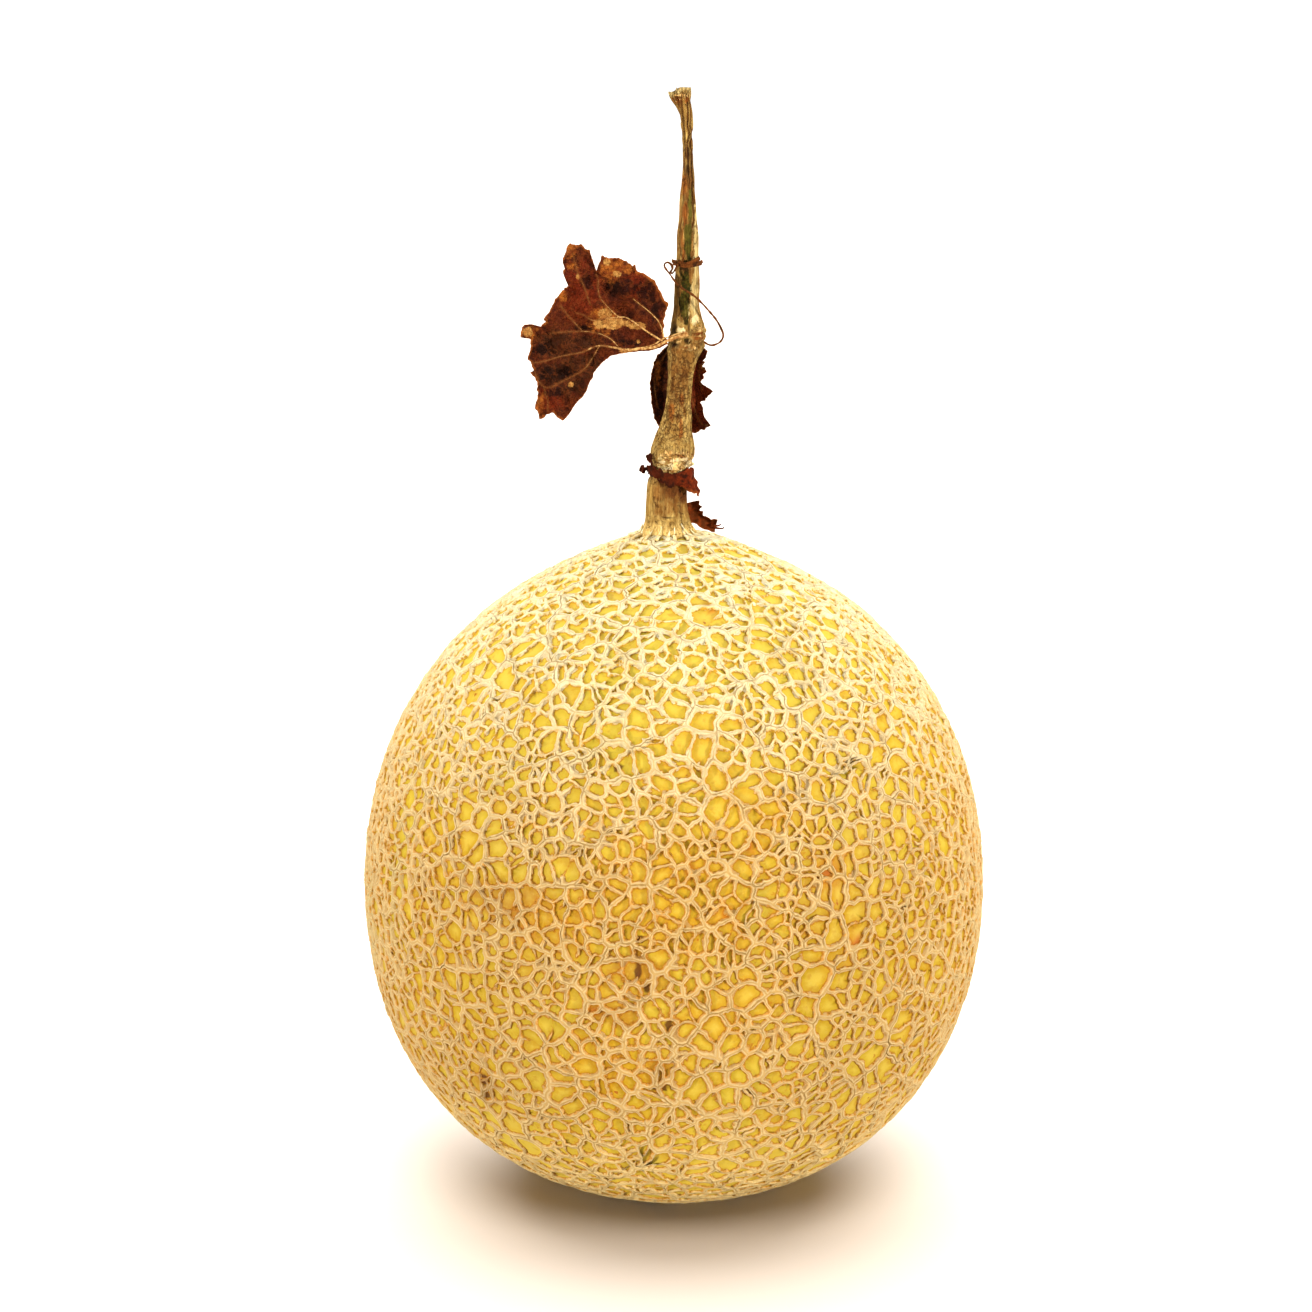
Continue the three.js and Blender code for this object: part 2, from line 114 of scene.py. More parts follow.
LAMPS = {  # strength, softness in degrees, and how far it leans to the front and the right
    "overhead_lamp": (8.5, 90.0, -20.0, 0.0),
    "front_lamp": (2.35, 30.0, 40.0, 4.0),
    "left_lamp": (6.1, 3.0, 31.0, -89.0),
    "right_lamp": (6.6, 3.0, 31.0, 89.0),
}
for name, (strength, softness, to_front, to_right) in LAMPS.items():
    lamp_data = bpy.data.lights.new(name, "SUN")
    lamp_data.energy = strength
    lamp_data.angle = math.radians(softness)
    lamp_data.color = LAMP_COLOUR
    lamp = bpy.data.objects.new(name, lamp_data)
    lamp.rotation_euler = (math.radians(to_front), math.radians(to_right), 0.0)
    scene.collection.objects.link(lamp)

# %% Floor
FLOOR_HALF = 15.0
FLOOR_DROP = 0.05 * MM
FLOOR_COLOUR, FLOOR_ROUGHNESS = (0.625, 0.555, 0.49, 1.0), 0.7


def new_material(name):
    """Starts a material. The node helpers then add to its tree and feed its shader."""
    global tree, shader
    material = bpy.data.materials.new(name)
    material.use_nodes = True
    tree = material.node_tree
    shader = tree.nodes["Principled BSDF"].inputs
    return material


corners = FLOOR_HALF * np.array([[-1, -1, 0], [1, -1, 0], [1, 1, 0], [-1, 1, 0]], float)
corners[:, 2] = -FLOOR_DROP
floor_mesh = bpy.data.meshes.new("floor")
floor_mesh.from_pydata(corners.tolist(), [], [(0, 1, 2, 3)])
floor = bpy.data.objects.new("floor", floor_mesh)
scene.collection.objects.link(floor)
floor_mesh.materials.append(new_material("floor_paint"))
shader["Base Color"].default_value = FLOOR_COLOUR
shader["Roughness"].default_value = FLOOR_ROUGHNESS

# %% [markdown]
# ## Helpers for making pieces
#
# Every piece is worked out with numpy as an array of points in millimetres and an array of
# triangles. One helper turns them into a Blender mesh and hides the solid that it replaces.

# %% From arrays to a piece


def stacked(*parts):
    """Numbers side by side: points from coordinates, or triangles from corners."""
    return np.stack(np.broadcast_arrays(*parts), axis=-1)


def quads(first, second, third, fourth):
    """Two triangles for each set of four corners."""
    return np.concatenate([stacked(first, second, third), stacked(first, third, fourth)])


def add_piece(name, points, triangles, node, slot, material, attributes=None):
    """Adds a piece that stands for a solid and rides on the melon.

    Points are in millimetres, and an attribute is one number for each point."""
    mesh = bpy.data.meshes.new(name)
    mesh.vertices.add(len(points))
    mesh.vertices.foreach_set("co", (points * MM).astype(np.float32).ravel())
    mesh.loops.add(triangles.size)
    mesh.loops.foreach_set("vertex_index", triangles.astype(np.int32).ravel())
    mesh.polygons.add(len(triangles))
    mesh.polygons.foreach_set("loop_start", np.arange(0, triangles.size, 3, dtype=np.int32))
    mesh.update(calc_edges=True)
    mesh.shade_smooth()
    for label, values in (attributes or {}).items():
        layer = mesh.attributes.new(label, "FLOAT", "POINT")
        layer.data.foreach_set("value", values.astype(np.float32))
    mesh.materials.append(material)
    piece = bpy.data.objects.new(name, mesh)
    scene.collection.objects.link(piece)
    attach(piece, "root")
    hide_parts(node)
    print(name, "has", len(triangles), "triangles")
    return piece


def chance(number, draw):
    """Repeatable numbers from 0 to 1: the fraction of a large sine of a number and a draw."""
    wave = np.sin(number * 12.9898 + draw * 78.233) * 43758.5453
    return wave - np.floor(wave)


def smooth_step(value, start, end):
    """0 before start, 1 after end, and 3 s^2 - 2 s^3 between them, s being the share."""
    share = np.clip((value - start) / (end - start), 0, 1)
    return share**2 * (3 - 2 * share)


def bell(*shares):
    """exp(-a^2 - b^2 - ...): 1 where all shares are 0, and little where one is above 1."""
    return np.exp(-sum(share**2 for share in shares))


def wrapped(angle):
    """The same angle, from -pi to pi."""
    return np.angle(np.exp(1j * angle))


def unit(vectors):
    """Vectors divided by their lengths."""
    return vectors / np.linalg.norm(vectors, axis=-1, keepdims=True)


def soft_noise(points, size, draw, waves=14):
    """Smooth noise from about -1 to 1: a sum of plane waves of one length in many directions."""
    number = np.arange(waves)
    up = 2 * chance(number, draw) - 1
    turn = 2 * np.pi * chance(number, draw + 1)
    ring = np.sqrt(1 - up**2)
    heading = np.stack([ring * np.cos(turn), ring * np.sin(turn), up])
    stretch = 0.7 + 0.6 * chance(number, draw + 2)
    phase = 2 * np.pi * chance(number, draw + 3)
    waving = np.sin(points @ heading * (2 * np.pi / size) * stretch + phase)
    return waving.sum(axis=-1) * math.sqrt(2 / waves) * 0.6

# %% [markdown]
# ## Helpers for materials
#
# A material is a small network of nodes. Each helper adds one node to the material that was
# started last, and returns what flows out of it. Flows can be added and multiplied like
# numbers, and colours are laid over each other in coats, so a material reads like a recipe.

# %% Node helpers
PAINT_SHARE = 0.58


class Flow:
    """What comes out of a node. Arithmetic with flows adds the nodes that work it out."""

    def __init__(self, socket):
        self.socket = socket

    def __add__(self, other):
        return compute("ADD", self, other)

    def __sub__(self, other):
        return compute("SUBTRACT", self, other)

    def __mul__(self, other):
        return compute("MULTIPLY", self, other)

    def __truediv__(self, other):
        return compute("DIVIDE", self, other)

    def __rtruediv__(self, other):
        return compute("DIVIDE", other, self)

    def __abs__(self):
        return compute("ABSOLUTE", self)


def feed(socket, value):
    """Joins an input to a flow, or sets it to a number or a colour."""
    if isinstance(value, Flow):
        tree.links.new(value.socket, socket)
    else:
        socket.default_value = value


def add_node(kind, output, inputs, **settings):
    """Adds a node, feeds its inputs, and returns one of its outputs."""
    node = tree.nodes.new("ShaderNode" + kind)
    for name, value in settings.items():
        setattr(node, name, value)
    for name, value in inputs.items():
        feed(node.inputs[name], value)
    return Flow(node.outputs[output])


def compute(operation, first, second=0.0):
    """One step of arithmetic."""
    return add_node("Math", 0, {0: first, 1: second}, operation=operation)


def shift_place(at, offset):
    """A place moved by an offset."""
    return add_node("VectorMath", 0, {0: at, 1: offset}, operation="ADD")


def scale_place(at, factors):
    """A place drawn out or pressed together along the three axes."""
    return add_node("VectorMath", 0, {0: at, 1: factors}, operation="MULTIPLY")


def millimetres():
    """The place on the piece, in millimetres."""
    at = add_node("TexCoord", "Object", {})
    return add_node("VectorMath", 0, {0: at, "Scale": 1 / MM}, operation="SCALE")


def axis_of(at, axis):
    """One of a place's three numbers: X to the right, Y to the back, Z up."""
    return add_node("SeparateXYZ", axis, {0: at})


def stored(label):
    """A number that is stored on the piece's points."""
    return add_node("Attribute", "Fac", {}, attribute_name=label)


def fade(value, start, end, low=0.0, high=1.0):
    """Goes smoothly from low to high as the value goes from start to end."""
    inputs = {"Value": value, "From Min": start, "From Max": end, "To Min": low, "To Max": high}
    return add_node("MapRange", "Result", inputs, interpolation_type="SMOOTHSTEP")


def cloud(at, size, detail=2.0, roughness=0.5, shift=None):
    """Noise from 0 to 1 with blotches about as large as size. A shift makes two noises differ."""
    at = shift_place(at, shift) if shift else at
    inputs = {"Vector": at, "Scale": 1 / size, "Detail": detail, "Roughness": roughness}
    return add_node("TexNoise", "Fac", inputs)


def cell_borders(at, scale, half):
    """1 on the borders of random cells, fading to 0 at some distance from them."""
    inputs = {"Vector": at, "Scale": scale}
    gap = add_node("TexVoronoi", "Distance", inputs, feature="DISTANCE_TO_EDGE")
    return fade(gap, 0.0, half, 1.0, 0.0)


def tint(red, green, blue):
    """A paint: a colour from 0 to 255 for the screen, made linear, times PAINT_SHARE."""
    screen = np.array([red, green, blue]) / 255.0
    linear = np.where(screen <= 0.04045, screen / 12.92, ((screen + 0.055) / 1.055) ** 2.4)
    return (*(PAINT_SHARE * linear).tolist(), 1.0)


def paint(mask, under, over):
    """One colour over another, where the mask is 1. Colours are paints or flows."""
    under, over = (tint(*way) if isinstance(way, tuple) else way for way in (under, over))
    return add_node("Mix", 2, {0: mask, 6: under, 7: over}, data_type="RGBA")


def coats(colour, *layers):
    """Lays colours over each other. Each layer has a mask, the mask's strength, and a colour."""
    for mask, strength, over in layers:
        colour = paint(mask * strength, colour, over)
    return colour


def finish_material(colour, roughness, gloss, relief=None, depth=0.0):
    """Feeds the shader. Relief is a height from 0 to 1, and depth its size in millimetres."""
    feed(shader["Base Color"], colour)
    feed(shader["Roughness"], roughness)
    feed(shader["Specular IOR Level"], gloss)
    if relief:
        inputs = {"Height": relief, "Distance": depth * MM, "Strength": 1.0}
        feed(shader["Normal"], add_node("Bump", "Normal", inputs))

# %% [markdown]
# ## The fruit's form
#
# The fruit is a superellipse turned round an upright axis, drawn up a little round the stem
# and cut level where it stands and under the stem. Points are placed by their direction from
# the fruit's middle, so the net can be laid out on a plain sphere first.

# %% The fruit's surface
FRUIT_RADIUS = 75.0
FRUIT_NARROWING = 0.012  # how much less it reaches to the front and the back
CROWN_REACH, CROWN_POWER = 82.2, 2.03
CROWN_TIP, CROWN_TIP_SPREAD = 3.5, 0.229  # height in millimetres, radians from the axis
BASE_REACH, BASE_POWER = 76.9, 2.21
SEAT_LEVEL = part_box("fruit")[1][2] / MM  # the top of the solid fruit, where the stem sits


def fruit_points(directions, depth):
    """Points of the fruit in these directions, some depth under the top of its net.

    The reach is (|sin|/radius)^power + (|cos|/height)^power, to the power -1/power, plus a
    bell round the stem."""
    way = unit(directions)
    angle = np.arccos(np.clip(way[:, 2], -1, 1))
    above = way[:, 2] > 0
    height = np.where(above, CROWN_REACH, BASE_REACH)
    power = np.where(above, CROWN_POWER, BASE_POWER)
    across = (np.abs(np.sin(angle)) / FRUIT_RADIUS) ** power
    along = (np.abs(np.cos(angle)) / height) ** power
    reach = (across + along) ** (-1 / power) + CROWN_TIP * bell(angle / CROWN_TIP_SPREAD)
    points = way * (reach - depth)[:, None]
    points[:, 1] *= 1 - FRUIT_NARROWING
    points[:, 2] = np.clip(points[:, 2] + WIDEST_LEVEL, 0, SEAT_LEVEL)
    return points

# %% [markdown]
# ## The net, as a map
#
# A real net forms where the rind cracks while the fruit swells: first in wide cracks, then in
# finer ones between them. The map does the same. Cells of three sizes are scattered on the
# sphere: coarse, middling and fine. The fine cells' borders are the strands. A strand that
# also parts two coarse cells is a thick cord, and one that parts two middling cells is a
# medium one. The coarse cells are those of the solid fruit, so the cords lie over its net.

# %% Scatter the cells
MAP_RADIUS = 78  # of the sphere on which the net is laid out, in millimetres
COARSE_CELLS, COARSE_STRAY = 480, 0.62
MIDDLING_CELLS, MIDDLING_STRAY = 1700, 0.9
FINE_CELLS, FINE_STRAY = 8600, 1.0
FINE_DROPPED = 0.3  # left out at random, which leaves some large cells
DROPPED_MORE = 0.3  # how much more or fewer are left out from place to place
DROP_SIZE = 22.0
LOW_DROPPED, LOW_PART = 0.14, (-0.2, 0.3)  # more left out, and from where to where: 1 is lowest
BASE_DROPPED, BASE_PART = 0.2, (0.45, 0.75)
MOST_DROPPED = 0.72


def random_steps(count, draw):
    """A step for each of so many points, up to half a unit either way along each axis."""
    return stacked(*(chance(np.arange(count), draw + axis) for axis in range(3))) - 0.5


def scatter(count, stray, draw=1):
    """Directions on a golden spiral from crown to base, each strayed by part of the spacing."""
    number = np.arange(count)
    level = 1 - (2 * number + 1) / count
    ring = np.sqrt(1 - level**2)
    turn = number * np.pi * (3 - math.sqrt(5))
    sites = stacked(ring * np.cos(turn), ring * np.sin(turn), level)
    return unit(sites + stray * math.sqrt(4 * np.pi / count) * random_steps(count, draw))


coarse_sites = scatter(COARSE_CELLS, COARSE_STRAY)
middling_sites = scatter(MIDDLING_CELLS, MIDDLING_STRAY, draw=11)
fine_sites = scatter(FINE_CELLS, FINE_STRAY, draw=21)
dropped = FINE_DROPPED + DROPPED_MORE * soft_noise(fine_sites * MAP_RADIUS, DROP_SIZE, 33)
dropped += LOW_DROPPED * smooth_step(-fine_sites[:, 2], *LOW_PART)
dropped += BASE_DROPPED * smooth_step(-fine_sites[:, 2], *BASE_PART)
fine_sites = fine_sites[chance(np.arange(FINE_CELLS), 31) > np.minimum(dropped, MOST_DROPPED)]
coarse_cell = np.argmax(fine_sites @ coarse_sites.T, axis=1)
middling_cell = np.argmax(fine_sites @ middling_sites.T, axis=1)
print("fine cells:", len(fine_sites))

# %% [markdown]
# The convex hull of the cells' middles joins each cell to its neighbours by triangles. Three
# strands meet in each triangle, and one strand crosses each of its sides. Each side is seen
# from two cells, so it is kept as two half-edges, numbered three to a triangle.

# %% Join neighbouring cells


def hull_triangles(directions):
    """The triangles of the convex hull of points on a sphere, all facing out."""
    mesh = bpy.data.meshes.new("hull")
    mesh.vertices.add(len(directions))
    mesh.vertices.foreach_set("co", directions.astype(np.float32).ravel())
    shell = bmesh.new()
    shell.from_mesh(mesh)
    bmesh.ops.convex_hull(shell, input=shell.verts)
    bmesh.ops.triangulate(shell, faces=shell.faces)
    shell.to_mesh(mesh)
    shell.free()
    corners = np.empty(len(mesh.loops), dtype=np.int32)
    mesh.loops.foreach_get("vertex_index", corners)
    bpy.data.meshes.remove(mesh)
    triangles = corners.reshape(-1, 3)
    inward = np.linalg.det(directions[triangles]) < 0
    triangles[inward] = triangles[inward][:, ::-1]
    return triangles


joined, numbered = np.unique(hull_triangles(fine_sites), return_inverse=True)
triangles = numbered.reshape(-1, 3)
fine_sites, coarse_cell, middling_cell = (
    whole[joined] for whole in (fine_sites, coarse_cell, middling_cell)
)
cell_count = len(fine_sites)
half = np.arange(triangles.size)
tail, head = triangles.ravel(), np.roll(triangles, -1, axis=1).ravel()
before = half - half % 3 + (half % 3 + 2) % 3  # the half-edge before it in its triangle
key = tail * cell_count + head
order = np.argsort(key)
twin = order[np.searchsorted(key, head * cell_count + tail, sorter=order)]
assert (twin[twin] == half).all() and (tail[twin] == head).all()
first, second, third = fine_sites[triangles].swapaxes(0, 1)
meetings = unit(np.cross(second - first, third - first))
print("strands:", len(half) // 2, "meetings:", len(meetings))

# %% [markdown]
# Each strand is cut into short steps, which gives a web of points: the meetings, and the
# points between them. Then the strands pull like threads. Every point is drawn towards the
# points that it is tied to, and a thick cord pulls harder than a thin strand, so cords run on
# in smooth curves and thin strands meet them nearly square.

# %% Lay out the web
STEP = 0.95  # millimetres between the points of a strand
MOST_STEPS = 9
THICK, MEDIUM, THIN = 2, 1, 0

thickness = np.full(len(half), THIN)
thickness[middling_cell[tail] != middling_cell[head]] = MEDIUM
thickness[coarse_cell[tail] != coarse_cell[head]] = THICK
forward = half < twin
strand_number = np.cumsum(forward) - 1
strand = np.where(forward, strand_number, strand_number[twin])
start_meeting, end_meeting = twin // 3, half // 3
reach = np.linalg.norm(meetings[start_meeting] - meetings[end_meeting], axis=1) * MAP_RADIUS
steps = np.clip(np.round(reach / STEP), 1, MOST_STEPS).astype(int)

strand_half = half[forward]  # the half-edge that a strand is numbered from
inner_count = steps[strand_half] - 1
first_inner = len(meetings) + np.cumsum(inner_count) - inner_count
inner_strand = np.repeat(np.arange(len(strand_half)), inner_count)
inner_side = strand_half[inner_strand]
inner_step = np.arange(inner_count.sum()) - np.repeat(first_inner - len(meetings), inner_count) + 1
share = (inner_step / steps[inner_side])[:, None]
inner_start, inner_end = meetings[start_meeting[inner_side]], meetings[end_meeting[inner_side]]
web = unit(np.concatenate([meetings, inner_start * (1 - share) + inner_end * share]))
print("points in the web:", len(web))


def web_point(sides, step):
    """The web's point at a step along a side, counted from the side's own start."""
    count = steps[sides]
    along = np.where(forward[sides], step, count - step)
    point = first_inner[strand[sides]] + along - 1
    point = np.where(step == count, end_meeting[sides], point)
    return np.where(step == 0, start_meeting[sides], point)

# %% Pull the strands
PULLS = np.array([1.0, 1.5, 3.2])  # of a thin, a medium and a thick strand
ROUNDS = 26
PULL_SHARE = 0.6

tied = np.zeros((len(web), 3), dtype=int)
pull = np.zeros((len(web), 3))
tied[: len(meetings)] = web_point(half, steps - 1).reshape(-1, 3)
pull[: len(meetings)] = PULLS[thickness].reshape(-1, 3)
tied[len(meetings):, 0] = web_point(inner_side, inner_step - 1)
tied[len(meetings):, 1] = web_point(inner_side, inner_step + 1)
pull[len(meetings):, :2] = 1.0
pull /= pull.sum(axis=1, keepdims=True)
for _ in range(ROUNDS):
    drawn = (web[tied] * pull[:, :, None]).sum(axis=1)
    web = unit(web * (1 - PULL_SHARE) + drawn * PULL_SHARE)

# %% [markdown]
# Real strands are never quite straight. Two smooth noises, one long and one short, push the
# web's points about by a fraction of a millimetre.

# %% Wander
WANDERS = ((9.0, 0.55), (3.4, 0.34))  # length of the waves and how far they push, in millimetres
JITTER = 0.24
for size, reach in WANDERS:
    draws = (40 + 10 * axis + size for axis in range(3))
    pushes = stacked(*(soft_noise(web * MAP_RADIUS, size, draw) for draw in draws))
    web = unit(web + pushes * reach / MAP_RADIUS)
web = unit(web + random_steps(len(web), 45) * JITTER / MAP_RADIUS)

# %% [markdown]
# ## The net, in relief
#
# Round each cell runs a loop of the web's points. From the loop, rings are drawn in towards
# the cell's middle: over the strand's rounded top, down its side and on to the rind, which
# swells a little in the middle of the cell. How far a ring is drawn in is set in millimetres,
# so a strand keeps its width along its whole length. Smoothing the inner rings rounds the
# corners of the window that each cell leaves in the net.

# %% Loops round the cells
loop_side = np.repeat(half, steps)
loop_start = np.cumsum(steps) - steps
loop_number = np.arange(len(loop_side))
loop_step = loop_number - loop_start[loop_side]
loop_web = web_point(loop_side, loop_step)
last_in_side = loop_step == steps[loop_side] - 1
loop_next = np.where(last_in_side, loop_start[twin[before][loop_side]], loop_number + 1)
loop_prev = np.empty_like(loop_next)
loop_prev[loop_next] = loop_number
loop_cell = tail[loop_side]
loop_count = np.bincount(loop_cell, minlength=cell_count)


def loop_sum(values):
    """Adds up, for each cell, what the points of its loop hold."""
    return np.bincount(loop_cell, values, cell_count)


middles = unit(stacked(*map(loop_sum, web[loop_web].T)))
print("points in all loops:", len(loop_side))

# %% Width and height of the strands
HALF_WIDTHS = np.array([0.36, 0.53, 0.77])  # thin, medium, thick, at the foot, in millimetres
HEIGHTS = np.array([0.60, 0.80, 0.94])
LEAST_WIDE, WIDER = 0.70, 0.65  # each strand's own share of that width: at least, up to more
LEAST_HIGH, HIGHER = 0.85, 0.2
CREST_NOISE, CREST_SIZE = 0.12, 1.7  # how much, and over what length, a strand's height changes
WIDTH_NOISE, WIDTH_SIZE = 0.14, 2.1
LOW_WIDER, LOW_FLATTER, LOW_FRUIT = 0.2, 0.3, (-0.3, 0.5)  # the strands of the lower fruit
RIND_DEPTH = 0.95
FADED = 0.14  # share of the thin strands that stay a mere line
FADED_HALF_WIDTH, FADED_HEIGHT = 0.15, 0.10
BROKEN = 0.2  # share of the thin strands that stop part of the way
BREAK = 0.16  # half the length over which a broken strand sinks away, as a share of its length
FIRST_BREAK, BREAK_SPREAD = 0.3, 0.5  # where along its length
GONE_NARROWER = 0.8

half_width = HALF_WIDTHS[thickness] * (LEAST_WIDE + WIDER * chance(strand, 51))
strand_height = HEIGHTS[thickness] * (LEAST_HIGH + HIGHER * chance(strand, 52))
faded = (thickness == THIN) & (chance(strand, 53) < FADED)
half_width[faded] = FADED_HALF_WIDTH
strand_height[faded] = FADED_HEIGHT
broken = (thickness == THIN) & ~faded & (chance(strand, 54) < BROKEN)


def along_web(per_side, rounds):
    """A number per strand, spread to the web's points and evened out along the strands."""
    values = np.concatenate([per_side.reshape(-1, 3).mean(axis=1), per_side[inner_side]])
    for _ in range(rounds):
        values = 0.4 * values + 0.6 * (values[tied] * pull).sum(axis=1)
    return values


web_width = along_web(half_width, 2)
web_height = along_web(strand_height, 3)
web_thick = along_web(thickness / THICK, 2)
web_height *= 1 + CREST_NOISE * soft_noise(web * MAP_RADIUS, CREST_SIZE, 81, 40)
web_width *= 1 + WIDTH_NOISE * soft_noise(web * MAP_RADIUS, WIDTH_SIZE, 86, 40)
web_low = smooth_step(-web[:, 2], *LOW_FRUIT)
web_width *= 1 + LOW_WIDER * web_low
web_height *= 1 - LOW_FLATTER * web_low

# A broken strand keeps its height up to its break and is gone from there to its other end.
inner_break = FIRST_BREAK + BREAK_SPREAD * chance(inner_strand, 55)
from_root = np.where(chance(inner_strand, 56) < 0.5, share[:, 0], 1 - share[:, 0])
sunk = np.clip((from_root - inner_break) / BREAK / 2 + 0.5, 0, 1)
web_gone = np.concatenate([np.zeros(len(meetings)), sunk * broken[inner_side]])
web_height *= 1 - web_gone
web_width *= 1 - GONE_NARROWER * web_gone

# %% Rings of each cell
RING_PLACES = (0.55, 1.0, 1.3)  # as parts of the strand's half width, from its middle line
RING_HEIGHTS = (1.0, 0.06, 0.0)
RING_ROUGHNESS = (0.26, 0.42, 0.0)  # how far its points stray, in millimetres
RING_SMOOTHING = (0, 1, 1)
GROOVE = 0.16
NARROWEST_WINDOW = 0.3  # from the strand's middle line to the cell's middle, in millimetres
WINDOW_SHARE = 0.35  # and at least this share of the way to the middle
DEEPEST_WINDOW = 0.86  # the share of that way that a strand may fill
CALM_HALF_WIDTH = 0.5  # narrower strands are less rough
SWELL, SWELL_LIMIT = 0.012, 0.05

line = web[loop_web]
inward = middles[loop_cell] - line
run = unit(web[loop_web[loop_next]] - web[loop_web[loop_prev]])
window = np.linalg.norm(np.cross(inward, run), axis=1) * MAP_RADIUS
window = np.maximum(window, WINDOW_SHARE * np.linalg.norm(inward, axis=1) * MAP_RADIUS)
window = np.maximum(window, NARROWEST_WINDOW)
width, height = web_width[loop_web], web_height[loop_web]


def evened(along):
    """A loop's values, each averaged with the two beside it."""
    return (along[loop_prev] + 2 * along + along[loop_next]) / 4


def draw_in(share_of_width, roughness, smoothing):
    """The loop drawn in by part of the strand's half width, with its corners rounded."""
    share = np.clip(width * share_of_width / window, 0, DEEPEST_WINDOW * min(1, share_of_width))
    ring = line + inward * evened(share)[:, None]
    for _ in range(smoothing):
        ring = evened(ring)
    strays = roughness * (chance(loop_number, 71) - 0.5) / window
    return ring + inward * (strays * np.minimum(1, width / CALM_HALF_WIDTH))[:, None]


rings = [draw_in(*how) for how in zip(RING_PLACES, RING_ROUGHNESS, RING_SMOOTHING)]
foot_gap = np.linalg.norm(rings[2] - middles[loop_cell], axis=1) * MAP_RADIUS
cell_radius = loop_sum(foot_gap) / loop_count
swell = np.minimum(SWELL * cell_radius, SWELL_LIMIT)
fruit_vertices = np.concatenate([
    fruit_points(web, RIND_DEPTH - web_height + GROOVE * web_thick),
    *(fruit_points(ring, RIND_DEPTH - height * part) for ring, part in zip(rings, RING_HEIGHTS)),
    fruit_points(middles, RIND_DEPTH - swell),
])

# %% Numbers that the rind's material reads
# edge: how far inside a strand's foot a point lies, in millimetres; below 0 is on the rind
GONE_EDGE = 0.3  # how far below the foot's edge a broken strand's lost part counts


def per_point(on_web, on_rings, on_middles):
    """A number for each point of the fruit: for the web, the three rings and the middles."""
    return np.concatenate([on_web, *on_rings, on_middles])


gone = GONE_EDGE * web_gone
ring_edges = [width * (1 - place) - gone[loop_web] for place in RING_PLACES]
cell = np.arange(cell_count)
fruit_attributes = {
    "edge": per_point(web_width - gone, ring_edges, -cell_radius),
    "width": per_point(web_width, [width] * 3, loop_sum(width) / loop_count),
    "cord": per_point(web_thick, [web_thick[loop_web]] * 3, 0 * cell),
    "tone": per_point(0 * web_width + 0.5, [chance(loop_cell, 61)] * 3, chance(cell, 61)),
}

# %% Where the rind has its own colour: degrees to the right of the front, level, reach both ways
RIND_PATCHES = {
    "warm": (
        (-0.8, 89.4, 27, 20), (-21.7, 82.6, 12, 10), (28.3, 94.1, 7, 6), (10.2, 63.5, 16, 13),
        (13.8, 105.9, 13, 9), (-12, 52, 16, 9), (118, 82, 24, 18), (196, 66, 20, 24),
        (250, 104, 22, 14),
    ),
    "stained": (
        (-7.6, 73, 8, 7), (-10.4, 63.5, 6, 5), (-2.2, 50.1, 4, 6), (-39.2, 39.8, 5, 7),
        (-31.3, 86.5, 10, 6), (-0.8, 61, 3, 3), (150, 58, 7, 6), (228, 92, 6, 9), (81, 48, 5, 7),
    ),
    "greenish": (
        (-14, 120.7, 9, 9), (-19.2, 128.5, 6, 6), (-12.9, 138.2, 6, 8), (31.9, 137.2, 5, 12),
        (-60.2, 88.8, 5, 25), (-36, 112, 5, 9), (96, 112, 10, 16), (172, 124, 9, 12),
        (285, 70, 8, 14),
    ),
    "dark_mark": (
        (-22.4, 126.2, .9, .9), (-11.5, 116.7, 1.1, .9), (-1.1, 61.6, .9, 1.6), (-6.1, 81, 1.2, 1),
        (-6.5, 74, .9, 2.2), (-5, 70, .8, 1.2), (-2.4, 46, 3.2, .8), (-39.5, 42.2, 1.8, 1.6),
        (-40.6, 38, 1.4, 1.2), (64, 52, 1.6, 1), (140, 108, 1.2, 1), (205, 60, 1.4, 2),
        (262, 118, 1, 1),
    ),
    "red_mark": (
        (8.9, 86.4, 1.6, 2), (13.2, 100.6, 1.2, 1.4), (14.9, 126.3, 1.4, 1.2),
        (14.1, 147.2, 1.2, 1.4), (2.4, 96, 1.3, 1.6), (27.9, 93.5, 2.6, 2), (-26.5, 80.5, 2, 2.2),
        (-14.5, 64, 2, 1.6), (33, 77, 2.2, 2), (100, 92, 2.4, 2), (182, 100, 2.2, 2.6),
        (236, 74, 2.6, 1.8),
    ),
}
fruit_turn = np.arctan2(fruit_vertices[:, 0], -fruit_vertices[:, 1])
fruit_girth = np.hypot(fruit_vertices[:, 0], fruit_vertices[:, 1])
for label, marks in RIND_PATCHES.items():
    share = np.zeros(len(fruit_vertices))
    for to_right, at_level, wide, tall in marks:
        apart = wrapped(fruit_turn - math.radians(to_right)) * fruit_girth
        share = np.maximum(share, bell(apart / wide, (fruit_vertices[:, 2] - at_level) / tall))
    fruit_attributes[label] = share

# %% Triangles between the rings
ring_starts = len(web) + len(loop_side) * np.arange(4)  # the last is where the middles start
loops = [(loop_web, loop_web[loop_next])]
loops += [(loop_number + start, loop_next + start) for start in ring_starts[:3]]
bands = [
    quads(outer, outer_next, inner_next, inner)
    for (outer, outer_next), (inner, inner_next) in zip(loops, loops[1:])
]
fruit_triangles = np.concatenate([*bands, stacked(*loops[3], loop_cell + ring_starts[3])])
triangle_cell = np.tile(loop_cell, 7)
print("triangles of the whole fruit:", len(fruit_triangles))
